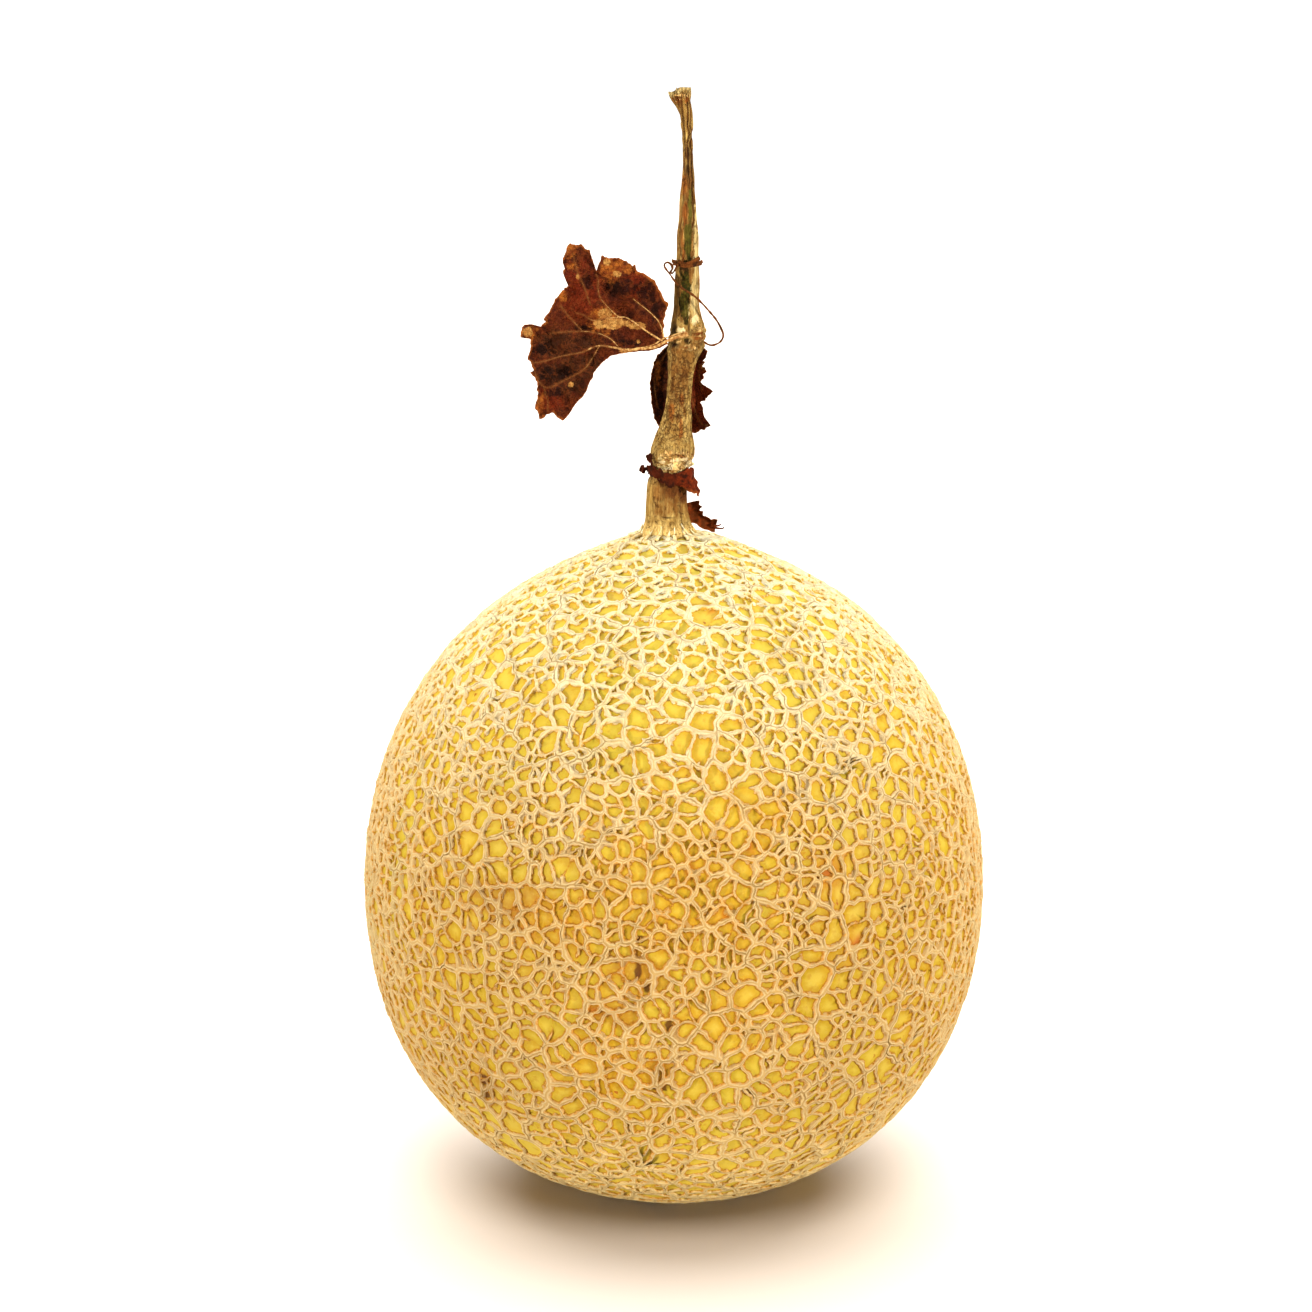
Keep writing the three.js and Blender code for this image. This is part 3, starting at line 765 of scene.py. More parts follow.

# %% [markdown]
# ## The rind's finish
#
# Two finishes share the surface. The strands are dry cork: cream near the crown and peach
# lower down, with pale crests, a duller middle and a grey-brown crack along the thick cords.
# The rind in the windows is golden, with orange, greenish and stained areas, and small spots.
# Light and shade are painted in too: painted shade round each window's rim and amber painted
# shade on the strands' sides, a paler painted middle in large windows, painted light on the left
# and right flanks, in the crown's windows and on its strands' sides, and a pale ground spot at
# the base that is also painted light from the floor.
# The stored edge distance keeps the border between cork and rind sharp at any size.

# %% The rind's colours
rind_material = new_material("netted_rind")
place = millimetres()
edge, strand_width, cord, tone = map(stored, ("edge", "width", "cord", "tone"))
# Painted light: towards the left and the right, as seen from the front, the strands are painted
# paler.
beside = fade(abs(axis_of(place, "X")), 48.0, 88.0)
upward = fade(axis_of(place, "Z"), 80.0, 165.0)
# Paler towards the base: the melon's real ground spot, and painted light that stands in for light
# bounced up from the floor.
ground_spot_and_bounce_light = fade(axis_of(place, "Z"), 45.0, 12.0)
ragged = fade(cloud(place, 5.0, 4.0, 0.6, (31, 7, 3)), 0.3, 0.7, -0.3, 0.3)
warm, stained, greenish = (
    fade(stored(label) + ragged, 0.25, 0.95) for label in ("warm", "stained", "greenish")
)
fibre = cloud(place, 0.45, 3.0, 0.65)
border = fade(cloud(place, 1.2, 3.0, 0.6, (5, 2, 8)), 0.3, 0.7, -0.17, 0.17)
border += fade(cloud(place, 3.2, 3.0, 0.55, (21, 6, 2)), 0.52, 0.68, 0.0, 0.65)  # flakes of cork
border += fade(fibre, 0.2, 0.8, -0.06, 0.06)
rim = edge + border  # above 0 where cork covers the rind
is_cork = fade(rim, -0.03, 0.05)
# Painted shade: the rind darkens next to the strands' feet round each window, where their shade
# falls.
painted_rim_shade = fade(rim, -0.34, 0.0)
bloom = cloud(place, 0.8, 3.0, 0.6, (3, 9, 5))
golden = coats(
    paint(fade(cloud(place, 46.0), 0.38, 0.62), (172, 136, 22), (178, 150, 42)),
    (upward, 0.75, (204, 180, 62)),
    (ground_spot_and_bounce_light, 0.8, (224, 190, 66)),
    (fade(cloud(place, 19.0, shift=(90, 0, 0)), 0.52, 0.68), 0.25, (182, 124, 18)),
    (warm, 0.6, (178, 126, 16)),
    (greenish, 0.35, (168, 150, 36)),
    (fade(tone, 0.72, 0.8), 0.25, (184, 158, 36)),  # some cells are greenish
    (fade(tone, 0.25, 0.0), 0.3, (176, 122, 18)),  # and some are orange
    # Painted light: a large window's middle, far from the strands' shade, is painted paler.
    (fade(edge, -0.5, -2.2), 0.55, (198, 174, 66)),  # the middle of a large window is paler
    (stained, 0.55, (150, 92, 22)),
    (fade(cloud(place, 1.7, 3.0, shift=(7, 3, 9)), 0.52, 0.75), 0.5, (162, 109, 21)),
    (fade(bloom, 0.5, 0.75), 0.35, (190, 166, 70)),
    (fade(cloud(place, 2.4, shift=(11, 45, 5)), 0.72, 0.78), 0.85, (149, 68, 13)),  # small spots
    (stored("red_mark"), 0.8, (167, 74, 13)),
    # Painted shade round the rim of each window.
    (painted_rim_shade, 0.65, (164, 90, 10)),
    (upward * painted_rim_shade, 0.5, (228, 178, 50)),  # light gets into the crown's windows
)

# %% The strands' colours
in_strand = edge / strand_width  # 0 at the foot, 1 on the middle line
from_middle = strand_width - edge
sideways = add_node("CombineXYZ", 0, {0: from_middle * 7.0})
thread = cloud(shift_place(scale_place(place, (0.6, 0.6, 0.6)), sideways), 1.0, 3.0, 0.6)
crack = fade(from_middle + fade(cloud(place, 0.9), 0.3, 0.7, -0.1, 0.1), 0.04, 0.2, 1.0, 0.0)
crack *= fade(cloud(place, 4.5, shift=(3, 8, 1)), 0.44, 0.6) * cord
crest = fade(in_strand, 0.2, 0.5) * fade(in_strand, 0.6, 0.9, 1, 0)
dull = fade(in_strand, 0.7, 0.95) * fade(cord, 0.1, 0.9, 0.2, 0.75)
cork = coats(
    paint(upward, (188, 149, 89), (234, 226, 188)),
    (ground_spot_and_bounce_light, 1, (230, 196, 124)),
    # painted light on the left and right flanks
    (beside, 0.5, (214, 190, 134)),
    (warm, 0.85, (188, 144, 76)),
    (greenish, 0.45, (175, 159, 102)),
    (stained, 0.6, (151, 104, 52)),
    (fade(cloud(place, 5.0, 4.0, 0.6), 0.45, 0.75), 0.55, (174, 141, 84)),  # worn areas
    (crest, 0.4, (230, 212, 158)),
    (fade(thread, 0.46, 0.62), 0.45, (158, 124, 74)),  # threads that run along the strand
    (fade(fibre, 0.5, 0.72), 0.3, (159, 124, 72)),
    (dull, 0.8, (192, 159, 95)),
    (crack, 0.5, (134, 94, 44)),
    # The strands' sides are painted amber: partly the browner colour of older cork, partly painted
    # shade warmed as if by light bounced off the rind.
    (fade(rim, 0.0, 0.3, 1.0, 0.0), 0.75, (206, 136, 36)),  # the strand's side
    # Painted light: on the crown the strands' sides are painted paler and warmer, for light bounced
    # into the net.
    (upward * fade(rim, 0.0, 0.5, 1.0, 0.0), 0.5, (250, 222, 140)),
)

# %% The rind's material
dark_mark = fade(stored("dark_mark"), 0.25, 0.6, 0.0, 0.85) * fade(is_cork, 0.0, 1.0, 1.0, 0.25)
relief = (fibre * 0.5 + thread * 0.8 - crack) * is_cork
relief += fade(rim, -0.1, 0.2, 0.0, 0.5) + bloom * 0.15
rind_colour = coats(paint(is_cork, golden, cork), (dark_mark, 1, (74, 34, 12)))
finish_material(rind_colour, fade(is_cork, 0.0, 1.0, 0.55, 0.82), 0.05, relief, 0.25)

# %% [markdown]
# ## The fruit's pieces
#
# The whole net is too much for one mesh file, so the fruit is four quarters, each a closed
# wedge. They part along the middle lines of strands, where nothing shows, and their hidden
# sides run to a point on the fruit's axis.

# %% Cut the fruit into quarters
QUARTERS = ("fruit_front", "fruit_right", "fruit_back", "fruit_left")
middle_turn = np.arctan2(middles[:, 0], -middles[:, 1])  # 0 at the front, growing to the right
cell_quarter = np.floor((middle_turn + np.pi / 4) / (np.pi / 2)).astype(int) % 4
fruit_vertices = np.concatenate([fruit_vertices, [[0.0, 0.0, WIDEST_LEVEL]]])
apex = len(fruit_vertices) - 1
for quarter, name in enumerate(QUARTERS):
    skin = fruit_triangles[cell_quarter[triangle_cell] == quarter]
    border = (cell_quarter[tail[loop_side]] == quarter) & (cell_quarter[head[loop_side]] != quarter)
    walls = stacked(loop_web[loop_next][border], loop_web[border], apex)
    used, renumbered = np.unique(np.concatenate([skin, walls]), return_inverse=True)
    values = {label: np.append(whole, 0.0)[used] for label, whole in fruit_attributes.items()}
    triangles = renumbered.reshape(-1, 3)
    piece = add_piece(name, fruit_vertices[used], triangles, "fruit", "rind", rind_material, values)
    flat = np.arange(len(triangles)) >= len(skin)
    piece.data.attributes.new("sharp_face", "BOOLEAN", "FACE").data.foreach_set("value", flat)

# %% [markdown]
# ## Solids from arrays
#
# The vine's pieces are tubes and thin sheets. A tube is an array of rings. A sheet is an
# array of points for its front and one for its back, joined by a wall along its rim. Both
# are closed, and a piece made of several of them is turned so that all its faces look out.

# %% Tubes and sheets


def outward(points, triangles):
    """The solid with its faces turned outwards: its volume, added up corner by corner, is
    negative when they look in."""
    first, second, third = points[triangles].swapaxes(0, 1)
    volume = (first * np.cross(second, third)).sum()
    return points, triangles if volume > 0 else triangles[:, ::-1]


def tube_solid(rings):
    """A closed solid through rings of points, given as an array of rings, sides and axes."""
    ring_count, sides = rings.shape[:2]
    last, end = (ring_count - 1) * sides, ring_count * sides
    here = np.arange(last)
    beside = here - here % sides + (here + 1) % sides
    side = np.arange(sides)
    next_side = (side + 1) % sides
    triangles = np.concatenate([
        quads(here, beside, beside + sides, here + sides),
        stacked(end, next_side, side),
        stacked(end + 1, last + side, last + next_side),
    ])
    middles = [rings[0].mean(axis=0), rings[-1].mean(axis=0)]
    return outward(np.concatenate([rings.reshape(-1, 3), middles]), triangles)


def sheet_solid(front, back, faces, rim):
    """A closed solid from two layers of points that share their triangles and their rim."""
    behind, rim_next = len(front), np.roll(rim, -1)
    walls = quads(rim, rim + behind, rim_next + behind, rim_next)
    triangles = np.concatenate([faces, faces[:, ::-1] + behind, walls])
    return outward(np.concatenate([front, back]), triangles)


def join(solids):
    """Several solids as one set of points and triangles."""
    starts = np.cumsum([0] + [len(points) for points, _ in solids])
    points = np.concatenate([points for points, _ in solids])
    return points, np.concatenate([faces + start for (_, faces), start in zip(solids, starts)])


def smooth_route(route, count):
    """A smooth line through the route's points: a Catmull-Rom spline, sampled evenly."""
    route = np.asarray(route, float)
    padded = np.concatenate([2 * route[:1] - route[1:2], route, 2 * route[-1:] - route[-2:-1]])
    place = np.linspace(0, len(route) - 1 - 1e-9, count)
    start = place.astype(int)
    share = (place - start)[:, None]
    before, here, after, beyond = (padded[start + step] for step in range(4))
    return 0.5 * (
        2 * here
        + (after - before) * share
        + (2 * before - 5 * here + 4 * after - beyond) * share**2
        + (beyond - before + 3 * (here - after)) * share**3
    )


def over_seat_route(route, count):
    """A smooth line through points whose heights are measured from the seat."""
    return smooth_route(route, count) + [0, 0, SEAT_LEVEL]


BACKWARD = np.array([0.13, 0.95, 0.28])  # no thread of the vine runs this way


def thread_solid(line, radii, sides=8, flatness=1.0):
    """A thin tube along a line. Flatness below 1 presses it against what lies behind it."""
    run = unit(np.gradient(line, axis=0))
    across = unit(np.cross(run, BACKWARD))
    away = np.cross(across, run) * flatness
    angle = np.arange(sides) / sides * 2 * np.pi
    section = across[:, None] * np.cos(angle)[:, None] + away[:, None] * np.sin(angle)[:, None]
    reach = np.broadcast_to(radii, len(line))[:, None, None]
    return tube_solid(line[:, None] + section * reach)

# %% [markdown]
# ## Effects that several materials share
#
# Each is a node group with named inputs. *Fibres* are streaks that run up the vine, *mottle*
# blends two colours in blotches of several sizes, and *specks* are small scattered spots.

# %% Shared effects


def new_group(name, inputs, output, kind):
    """Starts a node group. Returns it, a flow for each of its inputs, and its output."""
    global tree
    tree = bpy.data.node_groups.new(name, "ShaderNodeTree")
    for label, socket in inputs.items():
        tree.interface.new_socket(label, in_out="INPUT", socket_type="NodeSocket" + socket)
    tree.interface.new_socket(output, in_out="OUTPUT", socket_type="NodeSocket" + kind)
    given = tree.nodes.new("NodeGroupInput").outputs
    flows = [Flow(given[label]) for label in inputs]
    return tree, *flows, tree.nodes.new("NodeGroupOutput").inputs[output]


fibres, at, width, flatten, result = new_group(
    "fibres", {"Place": "Vector", "Width": "Float", "Flatten": "Vector"}, "Mask", "Float"
)
feed(result, fade(cloud(scale_place(at, flatten), width, 3.0, 0.6), 0.36, 0.64))

mottle, at, size, under, over, result = new_group(
    "mottle", {"Place": "Vector", "Size": "Float", "Under": "Color", "Over": "Color"},
    "Color", "Color",
)
feed(result, paint(fade(cloud(at, size, 5.0, 0.62), 0.40, 0.60), under, over))

specks, at, size, share, result = new_group(
    "specks", {"Place": "Vector", "Size": "Float", "Share": "Float"}, "Mask", "Float"
)
grains = {"Vector": at, "Scale": 1 / size}
round_spot = fade(add_node("TexVoronoi", "Distance", grains), 0.12, 0.34, 1.0, 0.0)
chosen = compute("LESS_THAN", add_node("TexVoronoi", "Color", grains), share)
feed(result, round_spot * chosen)


def streaks(width, flatten):
    """A mask of streaks this wide, drawn out along the axes that are flattened."""
    inputs = {"Place": place, "Width": width, "Flatten": flatten}
    return add_node("Group", 0, inputs, node_tree=fibres)


def blend(size, under, over):
    """Two paints in blotches of several sizes."""
    inputs = {"Place": place, "Size": size, "Under": tint(*under), "Over": tint(*over)}
    return add_node("Group", 0, inputs, node_tree=mottle)

# %% [markdown]
# ## The stem
#
# The stem keeps the solid's middle line, thickness and five twisting ridges, and gains what
# time did to it: long fibres, deeper grooves in the dry upper part, wrinkles at its two
# joints, a foot that spreads over the crown, and a frayed, slanting cut end.

# %% The stem's form
STEM_RIDGES = 5
STEM_TWIST = 0.9  # radians from foot to cut end
STEM_HEIGHT = 103.3
STEM_STATIONS = np.array([  # height over the seat, place to the right, radius
    [-1.4, -1.4, 7.5], [-0.4, -1.5, 6.9], [0.6, -1.6, 6.3], [1.6, -1.7, 5.8], [2.6, -1.8, 5.5],
    [3.9, -1.9, 5.3], [6.3, -2.0, 5.1], [9.9, -1.95, 4.85], [13.5, -1.3, 4.65], [15.4, -0.8, 4.7],
    [17.0, -0.65, 5.15], [18.9, -0.5, 5.5], [21.8, -0.15, 4.85], [24.1, 0.2, 4.1], [27.7, 0.7, 3.5],
    [31.5, 1.1, 2.95], [35.9, 1.3, 3.0], [39.4, 1.8, 3.35], [42.5, 2.4, 4.0], [44.4, 2.9, 4.3],
    [46.7, 3.2, 4.5], [49.5, 3.0, 3.8], [52.5, 3.0, 3.1], [56.9, 3.0, 3.0], [60.7, 3.0, 2.9],
    [64.1, 3.1, 2.7], [70.0, 3.2, 2.5], [78.2, 3.3, 1.9], [82.8, 3.2, 1.6], [87.0, 3.2, 1.3],
    [92.2, 2.9, 1.4], [98.2, 2.5, 1.8], [101.7, 1.6, 2.4], [103.3, 1.2, 2.7],
])
STEM_BOTTOM = STEM_STATIONS[0, 0]
STEM_ROWS, STEM_SIDES = 420, 104
EVENING = np.linspace(-1.0, 1.0, 9)  # each station value is averaged over this much height
DRY_LEVELS = (58, 86)  # from where to where it turns dry
GROOVE_SHARE, DRY_GROOVE_SHARE, SMALL_GROOVE_SHARE = 0.13, 0.07, 0.15  # of the radius
JOINTS = ((15.2, 2.4, 1.0), (45.5, 2.8, 0.7))  # level, reach, how wrinkled
FIBRE, WRINKLE, LUMP, FOOT_FOLD = 0.08, 0.45, 0.12, 0.24  # how far each swells, in millimetres
FOOT_FOLDS = 11
SEAMS, SEAM_HALF = 7, 0.12
FRONT_VIEW = (-0.25, 0.05)  # the front fades in between these shares of facing the viewer
CUT_END_SHARES = np.array([0.9, 0.7, 0.45, 0.2])  # rings that close the cut end
CUT_SLANT = 1.3  # how much lower the cut's left side lies
FRAYING, FRAYED_FROM = 0.55, 97.0


def station(level, column):
    """What a column of the stations says at a level."""
    return np.interp(level, STEM_STATIONS[:, 0], STEM_STATIONS[:, column])


level = np.linspace(STEM_BOTTOM, STEM_HEIGHT, STEM_ROWS)[:, None]
turn = (np.arange(STEM_SIDES) / STEM_SIDES * 2 * np.pi)[None, :]  # before the twist
evened_level = np.clip(level + EVENING, STEM_BOTTOM, STEM_HEIGHT)
stem_right, stem_radius = (
    station(evened_level, column).mean(axis=1)[:, None] for column in (1, 2)
)

dry = smooth_step(level, *DRY_LEVELS)
crest = np.abs(np.cos(STEM_RIDGES * turn / 2)) ** 0.8  # 1 on a ridge, 0 in a groove
small_crest = np.abs(np.cos(STEM_RIDGES * turn + 0.4)) ** 0.8
groove_share = (GROOVE_SHARE + DRY_GROOVE_SHARE * dry) * (1 - crest)
reach = stem_radius * (1 - groove_share - SMALL_GROOVE_SHARE * dry * (1 - small_crest))

round_place = stacked(np.cos(turn), np.sin(turn), 0 * level) * stem_radius[:, :, None]
upright = np.array([0.0, 0.0, 1.0]) * level[:, :, None]
fibre_noise = soft_noise(round_place + upright * 0.07, 0.85, 201, 40)
wrinkle_noise = soft_noise(round_place * 0.3 + upright, 1.5, 211, 40)
lump_noise = soft_noise(round_place + upright * 0.7, 4.5, 221, 24)
node_wrinkles = sum(share * bell((level - joint) / far) for joint, far, share in JOINTS)
foot_folds = bell((level + 0.6) / 2.2) * np.cos(FOOT_FOLDS * turn + 2 * lump_noise)
reach += FIBRE * fibre_noise * (0.7 + 0.9 * dry) + WRINKLE * wrinkle_noise * node_wrinkles
reach += LUMP * lump_noise + FOOT_FOLD * foot_folds

# Where a point looks. The front of the stem is seen, so its marks are placed one by one.
heading = turn + STEM_TWIST * level / STEM_HEIGHT
to_right = np.sin(heading + np.pi / 2)  # -1 on the left, 1 on the right
on_front = smooth_step(np.cos(heading + np.pi / 2), *FRONT_VIEW)
across = stem_right + stem_radius * np.cos(heading)  # how far to the right it lies
drift = 0.16 * soft_noise(upright + 0 * round_place, 2.6, 261)  # lines wander by this much


def spots(table):
    """Bells on the front, the largest at each point: right, level, half width, half height."""
    bells = [bell((across - right) / wide, (level - up) / tall) for right, up, wide, tall in table]
    return np.max(bells, axis=0) * on_front


def lines(table):
    """Lines up the front. Each lists level, place to the right and half width, upward."""
    share = 0 * level * turn
    for line in table:
        levels, rights, halves = np.array(line, float).T
        middle = np.interp(level, levels, rights) + drift
        half = np.interp(level, levels, halves)
        ends = smooth_step(level, levels[0] - 1, levels[0] + 1)
        ends = ends * (1 - smooth_step(level, levels[-1] - 1, levels[-1] + 1))
        share = np.maximum(share, ends * bell((across - middle) / half))
    return share * on_front


def seams(count, half, number):
    """Lines up the sides and the back, spread evenly, that wander a little as they climb."""
    share = 0 * level * turn
    for seam in range(count):
        wander = soft_noise(upright * 0.5 + 0 * round_place + 9.0 * seam, 2.5, number)
        middle = 2 * np.pi * seam / count + 0.16 * wander
        share = np.maximum(share, bell(wrapped(turn - middle) / half))
    return share * (1 - on_front)


FRONT_GROOVES = (
    ((84, 1.9, .16), (88, 2.1, .2), (92, 2, .2), (95.5, 1.8, .24), (99.4, 1.5, .3), (102, 1.1, .3)),
    ((78, 3.8, .2), (82, 3.3, .2), (86, 3.1, .26), (89, 2.9, .3), (92, 3.1, .26), (102, 3, .3)),
    ((64, 4.9, .14), (70, 4.7, .2), (79, 4.4, .22), (86, 4, .18), (95, 3.9, .16), (101, 3.8, .16)),
    ((52, .1, .2), (60, .9, .2), (66, 1.15, .18), (72, 1.2, .16), (80, 1.9, .14), (84, 2.5, .12)),
    ((60, 2.1, .2), (66, 2.2, .28), (72, 2.5, .22), (78, 2.9, .2)),
    ((92, 1.2, .12), (97, .9, .14), (102, .3, .18)),
    ((2, -5.8, .12), (6.5, -5.7, .12)), ((3.5, -5, .16), (8, -4.8, .12)),
    ((4.5, -4.3, .12), (9, -4, .1)), ((18, -2, .12), (25, -1.2, .12)),
    ((18, .2, .12), (24, .5, .12)), ((17, 2.6, .12), (25, 2.4, .12)),
    ((26, -1.4, .12), (42, -.4, .14)), ((27, 3.1, .12), (42, 3.8, .14)),
    ((33, .8, .1), (37, .6, .1)), ((33, 2.4, .1), (37, 2.2, .1)),
)
grooves = np.maximum(lines(FRONT_GROOVES), seams(SEAMS, SEAM_HALF, 271))
reach -= (0.12 + 0.2 * dry) * grooves

# The upper joint: a round scar at the front, a hollow beside it, and a swelling on the right.
reach += 0.8 * spots([(1.7, 47.6, 0.8, 0.8)]) - 0.8 * spots([(-0.6, 47.7, 1.2, 1.4)])
reach += 0.7 * spots([(5.8, 47.0, 1.5, 1.8)]) + 0.22 * bell((level - 43.2) / 1.3)

frayed = FRAYING * soft_noise(round_place, 0.9, 231, 30)
frayed -= CUT_SLANT * smooth_step(-to_right, -0.4, 1)
above_fray = smooth_step(level, FRAYED_FROM, STEM_HEIGHT)
stem_rings = stacked(
    stem_right + reach * np.cos(heading),
    reach * np.sin(heading),
    SEAT_LEVEL + level + above_fray * np.minimum(frayed, 0),
)
cut_middle = stem_rings[-1].mean(axis=0)
cut_rings = cut_middle + (stem_rings[-1] - cut_middle) * CUT_END_SHARES[:, None, None]
cut_rings[:, :, 2] += 0.35 * soft_noise(cut_rings, 0.8, 241, 30) - 0.2
cut_rings[:, :, 2] = np.minimum(cut_rings[:, :, 2], SEAT_LEVEL + STEM_HEIGHT)
stem_points, stem_triangles = tube_solid(np.concatenate([stem_rings, cut_rings]))

# %% Where the stem is pale, cream, white, rusty, corky, green and dark, and where light and shade are painted on it
PALE_SHARES = np.array([  # level, share
    (-1.4, 1.3), (1, 1.3), (3, .9), (5, .4), (9, .15), (12, .2), (13.5, .6), (15, 1), (19, .95),
    (22, .85), (25, .6), (30, .3), (35, .15), (40, .15), (43.5, .2), (45, .5), (49, .8),
    (51, .35), (60, .3), (80, .3), (90, .5), (96, .65), (101, .5), (103, .9),
])
PALE_LINES = (
    ((19, -5, .8), (23.3, -4, .7), (26.3, -2.7, .55), (30.8, -1.7, .5), (35.3, -1.5, .5),
     (42, -1.3, .5)),
    ((24, 3.8, .8), (31.6, 3.7, .7), (37.9, 4.1, .65), (42.6, 5.6, .7)),
    ((60, 1.5, .25), (66, 1.6, .3), (72, 1.8, .3), (78, 1.6, .25)),
    ((90, 2.5, .2), (96, 2.5, .3), (102, 2.2, .3)), ((92, 4.3, .3), (101, 4.1, .3)),
    ((88, 3.6, .2), (96, 3.55, .25), (102, 3.5, .3)), ((3, -6.3, .9), (12, -5.8, .9)),
)
CREAM_LINE = ((49.5, 4.8, 1.2), (52, 4.7, 1.1), (58, 4.9, .85), (66, 5.2, .6), (78, 5.1, .3))
STEM_SPOTS = {
    "cream": (
        (1.7, 47.6, 1.2, 1.1), (1.3, 16.8, .7, .5), (-2.4, 15.6, 1.6, .6), (4.6, 50, 1.1, .9),
        (-3.6, 17.6, .6, .6), (1.3, 103.2, 3.4, .9),
    ),
    "white": (
        (1.7, 47.6, 1, .9), (4.7, 50.4, .8, .8), (1.3, 14.4, .8, .6), (3, 15.6, .7, .6),
        (-1.8, 15.4, 1.2, .4), (-2.9, 16.9, 1.1, .45), (.2, 17.3, 1.2, .4), (2.8, 17.4, 1, .5),
        (-.8, 16.2, 1.3, .35), (4.2, 16.4, .7, .6),
    ),
    "rust_and_shade": (
        (2.4, 81.4, 1, 2.8), (2.2, 74.6, .9, 3), (1.7, 69, .5, 3.6), (2, 64, .35, 4),
        (-.7, 28.6, .7, 2.4), (1.6, 24.6, .6, 2.8), (1.7, 31.4, .5, 1.8), (5.2, 46.2, 1.4, 1.2),
        (-1, 13.4, 2.6, .5), (2.8, 15, 1.2, .6), (.6, 100.9, 1.2, .8), (3, 100.6, .8, .8),
    ),
    "corky": (
        (5.9, 47, 2, 2), (3, 43.6, 2.4, .9), (.4, 16.2, 6, 2.2), (.4, 17.9, 6, 1.8),
        (.6, 101.6, 3, 1.2),
    ),
    # Painted shadow: the brown patch on the foot just under the collar stands for the collar's
    # shadow.
    "collar_shadow": ((.4, 10.2, 2.9, 2.1), (-2.2, 12.2, 1.6, 1.2), (2.6, 8.4, 1.2, 1.6)),
    "green": (
        (3.65, 76.4, .5, 4.6), (3.3, 68.2, 1, 4.8), (2.7, 58.5, 1.3, 5), (2.3, 53.6, 1.35, 4.6),
        (2.8, 49.4, .7, .9), (2.9, 45.3, 1, .8),
    ),
    # The first two dark spots darken the hollow beside the upper joint's scar: painted shade.
    "dark": (
        (-.8, 47.7, 1.4, 1.4), (-.8, 47.7, .9, 1), (0, 44.3, 1.5, .5), (3, 45.2, .8, .6),
        (3.4, 48.5, .3, 1.1), (2.2, 61.8, 1.5, .5), (-1.5, 3.8, 1.3, .22), (1.7, 31.2, 1.3, .16),
        (1.5, 27.7, 1.3, .16), (.1, 29.5, .5, .14), (3.2, 88, .5, 2), (3, 84.5, .7, 1.6),
    ),
}
on_stem = {label: spots(table) for label, table in STEM_SPOTS.items()}
panel = np.exp(-((wrapped(turn - 1.3) / 0.4) ** 4))  # a green hollow at the back
back_green = panel * smooth_step(level, 50, 54) * (1 - smooth_step(level, 70, 80)) * (1 - on_front)
# Painted light: the stem's left and right edges, as seen from the front, are painted paler.
painted_side_light = smooth_step(np.abs(to_right), 0.72, 0.92) * smooth_step(level, 17, 21)
painted_side_light = painted_side_light * smooth_step(-level, -46, -42)
# Painted shade: the hollows of the joints' wrinkles are darkened, in the rust and the dark areas.
wrinkle_hollow_shade = node_wrinkles * smooth_step(-wrinkle_noise, 0.3, 1.3)
stem_numbers = {  # on the side, and on the cut end
    "groove": (np.maximum((0.3 + 0.7 * dry) * grooves, 0.5 * dry * (1 - crest)), 0.2),
    "pale": (np.interp(level, *PALE_SHARES.T) + 0.9 * lines(PALE_LINES) + 0.9 * painted_side_light, 0.9),
    "cream": (np.maximum(lines([CREAM_LINE]), on_stem["cream"]), 0.6),
    "white": (on_stem["white"], 0.3),
    "foot": (1 - smooth_step(level + 0.4 * lump_noise, 0.2, 3.4), 0.0),
    "corky": (np.maximum(on_stem["corky"], 0.7 * node_wrinkles), 0.5),
    "rust_and_shade": (on_stem["rust_and_shade"] + 0.6 * wrinkle_hollow_shade, 0.2),
    "collar_shadow": (on_stem["collar_shadow"], 0.0),
    "green": (np.maximum(on_stem["green"], back_green), 0.0),
    "dark": (np.maximum(on_stem["dark"], 0.5 * wrinkle_hollow_shade), 0.0),
    "mottled": (bell((level - 85.5) / 4.5), 0.0),
}
stem_attributes = {}
for label, (on_side, on_cut) in stem_numbers.items():
    rows = np.broadcast_to(np.clip(on_side, 0, 1), (STEM_ROWS, STEM_SIDES))
    stem_attributes[label] = np.append(rows, np.full(len(stem_points) - rows.size, on_cut))

# %% [markdown]
# The stem's material lays colours over each other from below: dark and pale bark with streaks,
# dark grooves, rusty areas, the green that is left between two ridges, the collar's painted
# shadow on the foot, corky lumps round the joints with painted shade in the furrows between
# them, cream and nearly white areas, the pale foot, dark specks, cracks that run across the
# lower part, a fine crackle, long fissures and dark hollows. Painted light makes the stem's
# flanks paler, and painted shade darkens its hollow and its wrinkles. Noise makes the edges ragged.

# %% The stem's material
stem_material = new_material("dried_vine")
place = millimetres()
over_seat = axis_of(place, "Z") - SEAT_LEVEL
torn = fade(cloud(scale_place(place, (1, 1, 0.35)), 1.1, 4.0, 0.65), 0.3, 0.7, -0.35, 0.35)
streak = streaks(0.42, (1.0, 1.0, 0.07))


def ragged_area(label, start=0.3, end=0.6):
    """A stored area whose edge is torn by noise."""
    return fade(stored(label) + torn, start, end)


def streaked(under, over):
    """Two paints in fine upright streaks."""
    return paint(streak, under, over)


def thin_lines(noise, half):
    """Thin lines where a noise passes through its middle value."""
    return fade(abs(noise - 0.5), 0.0, half, 1, 0)


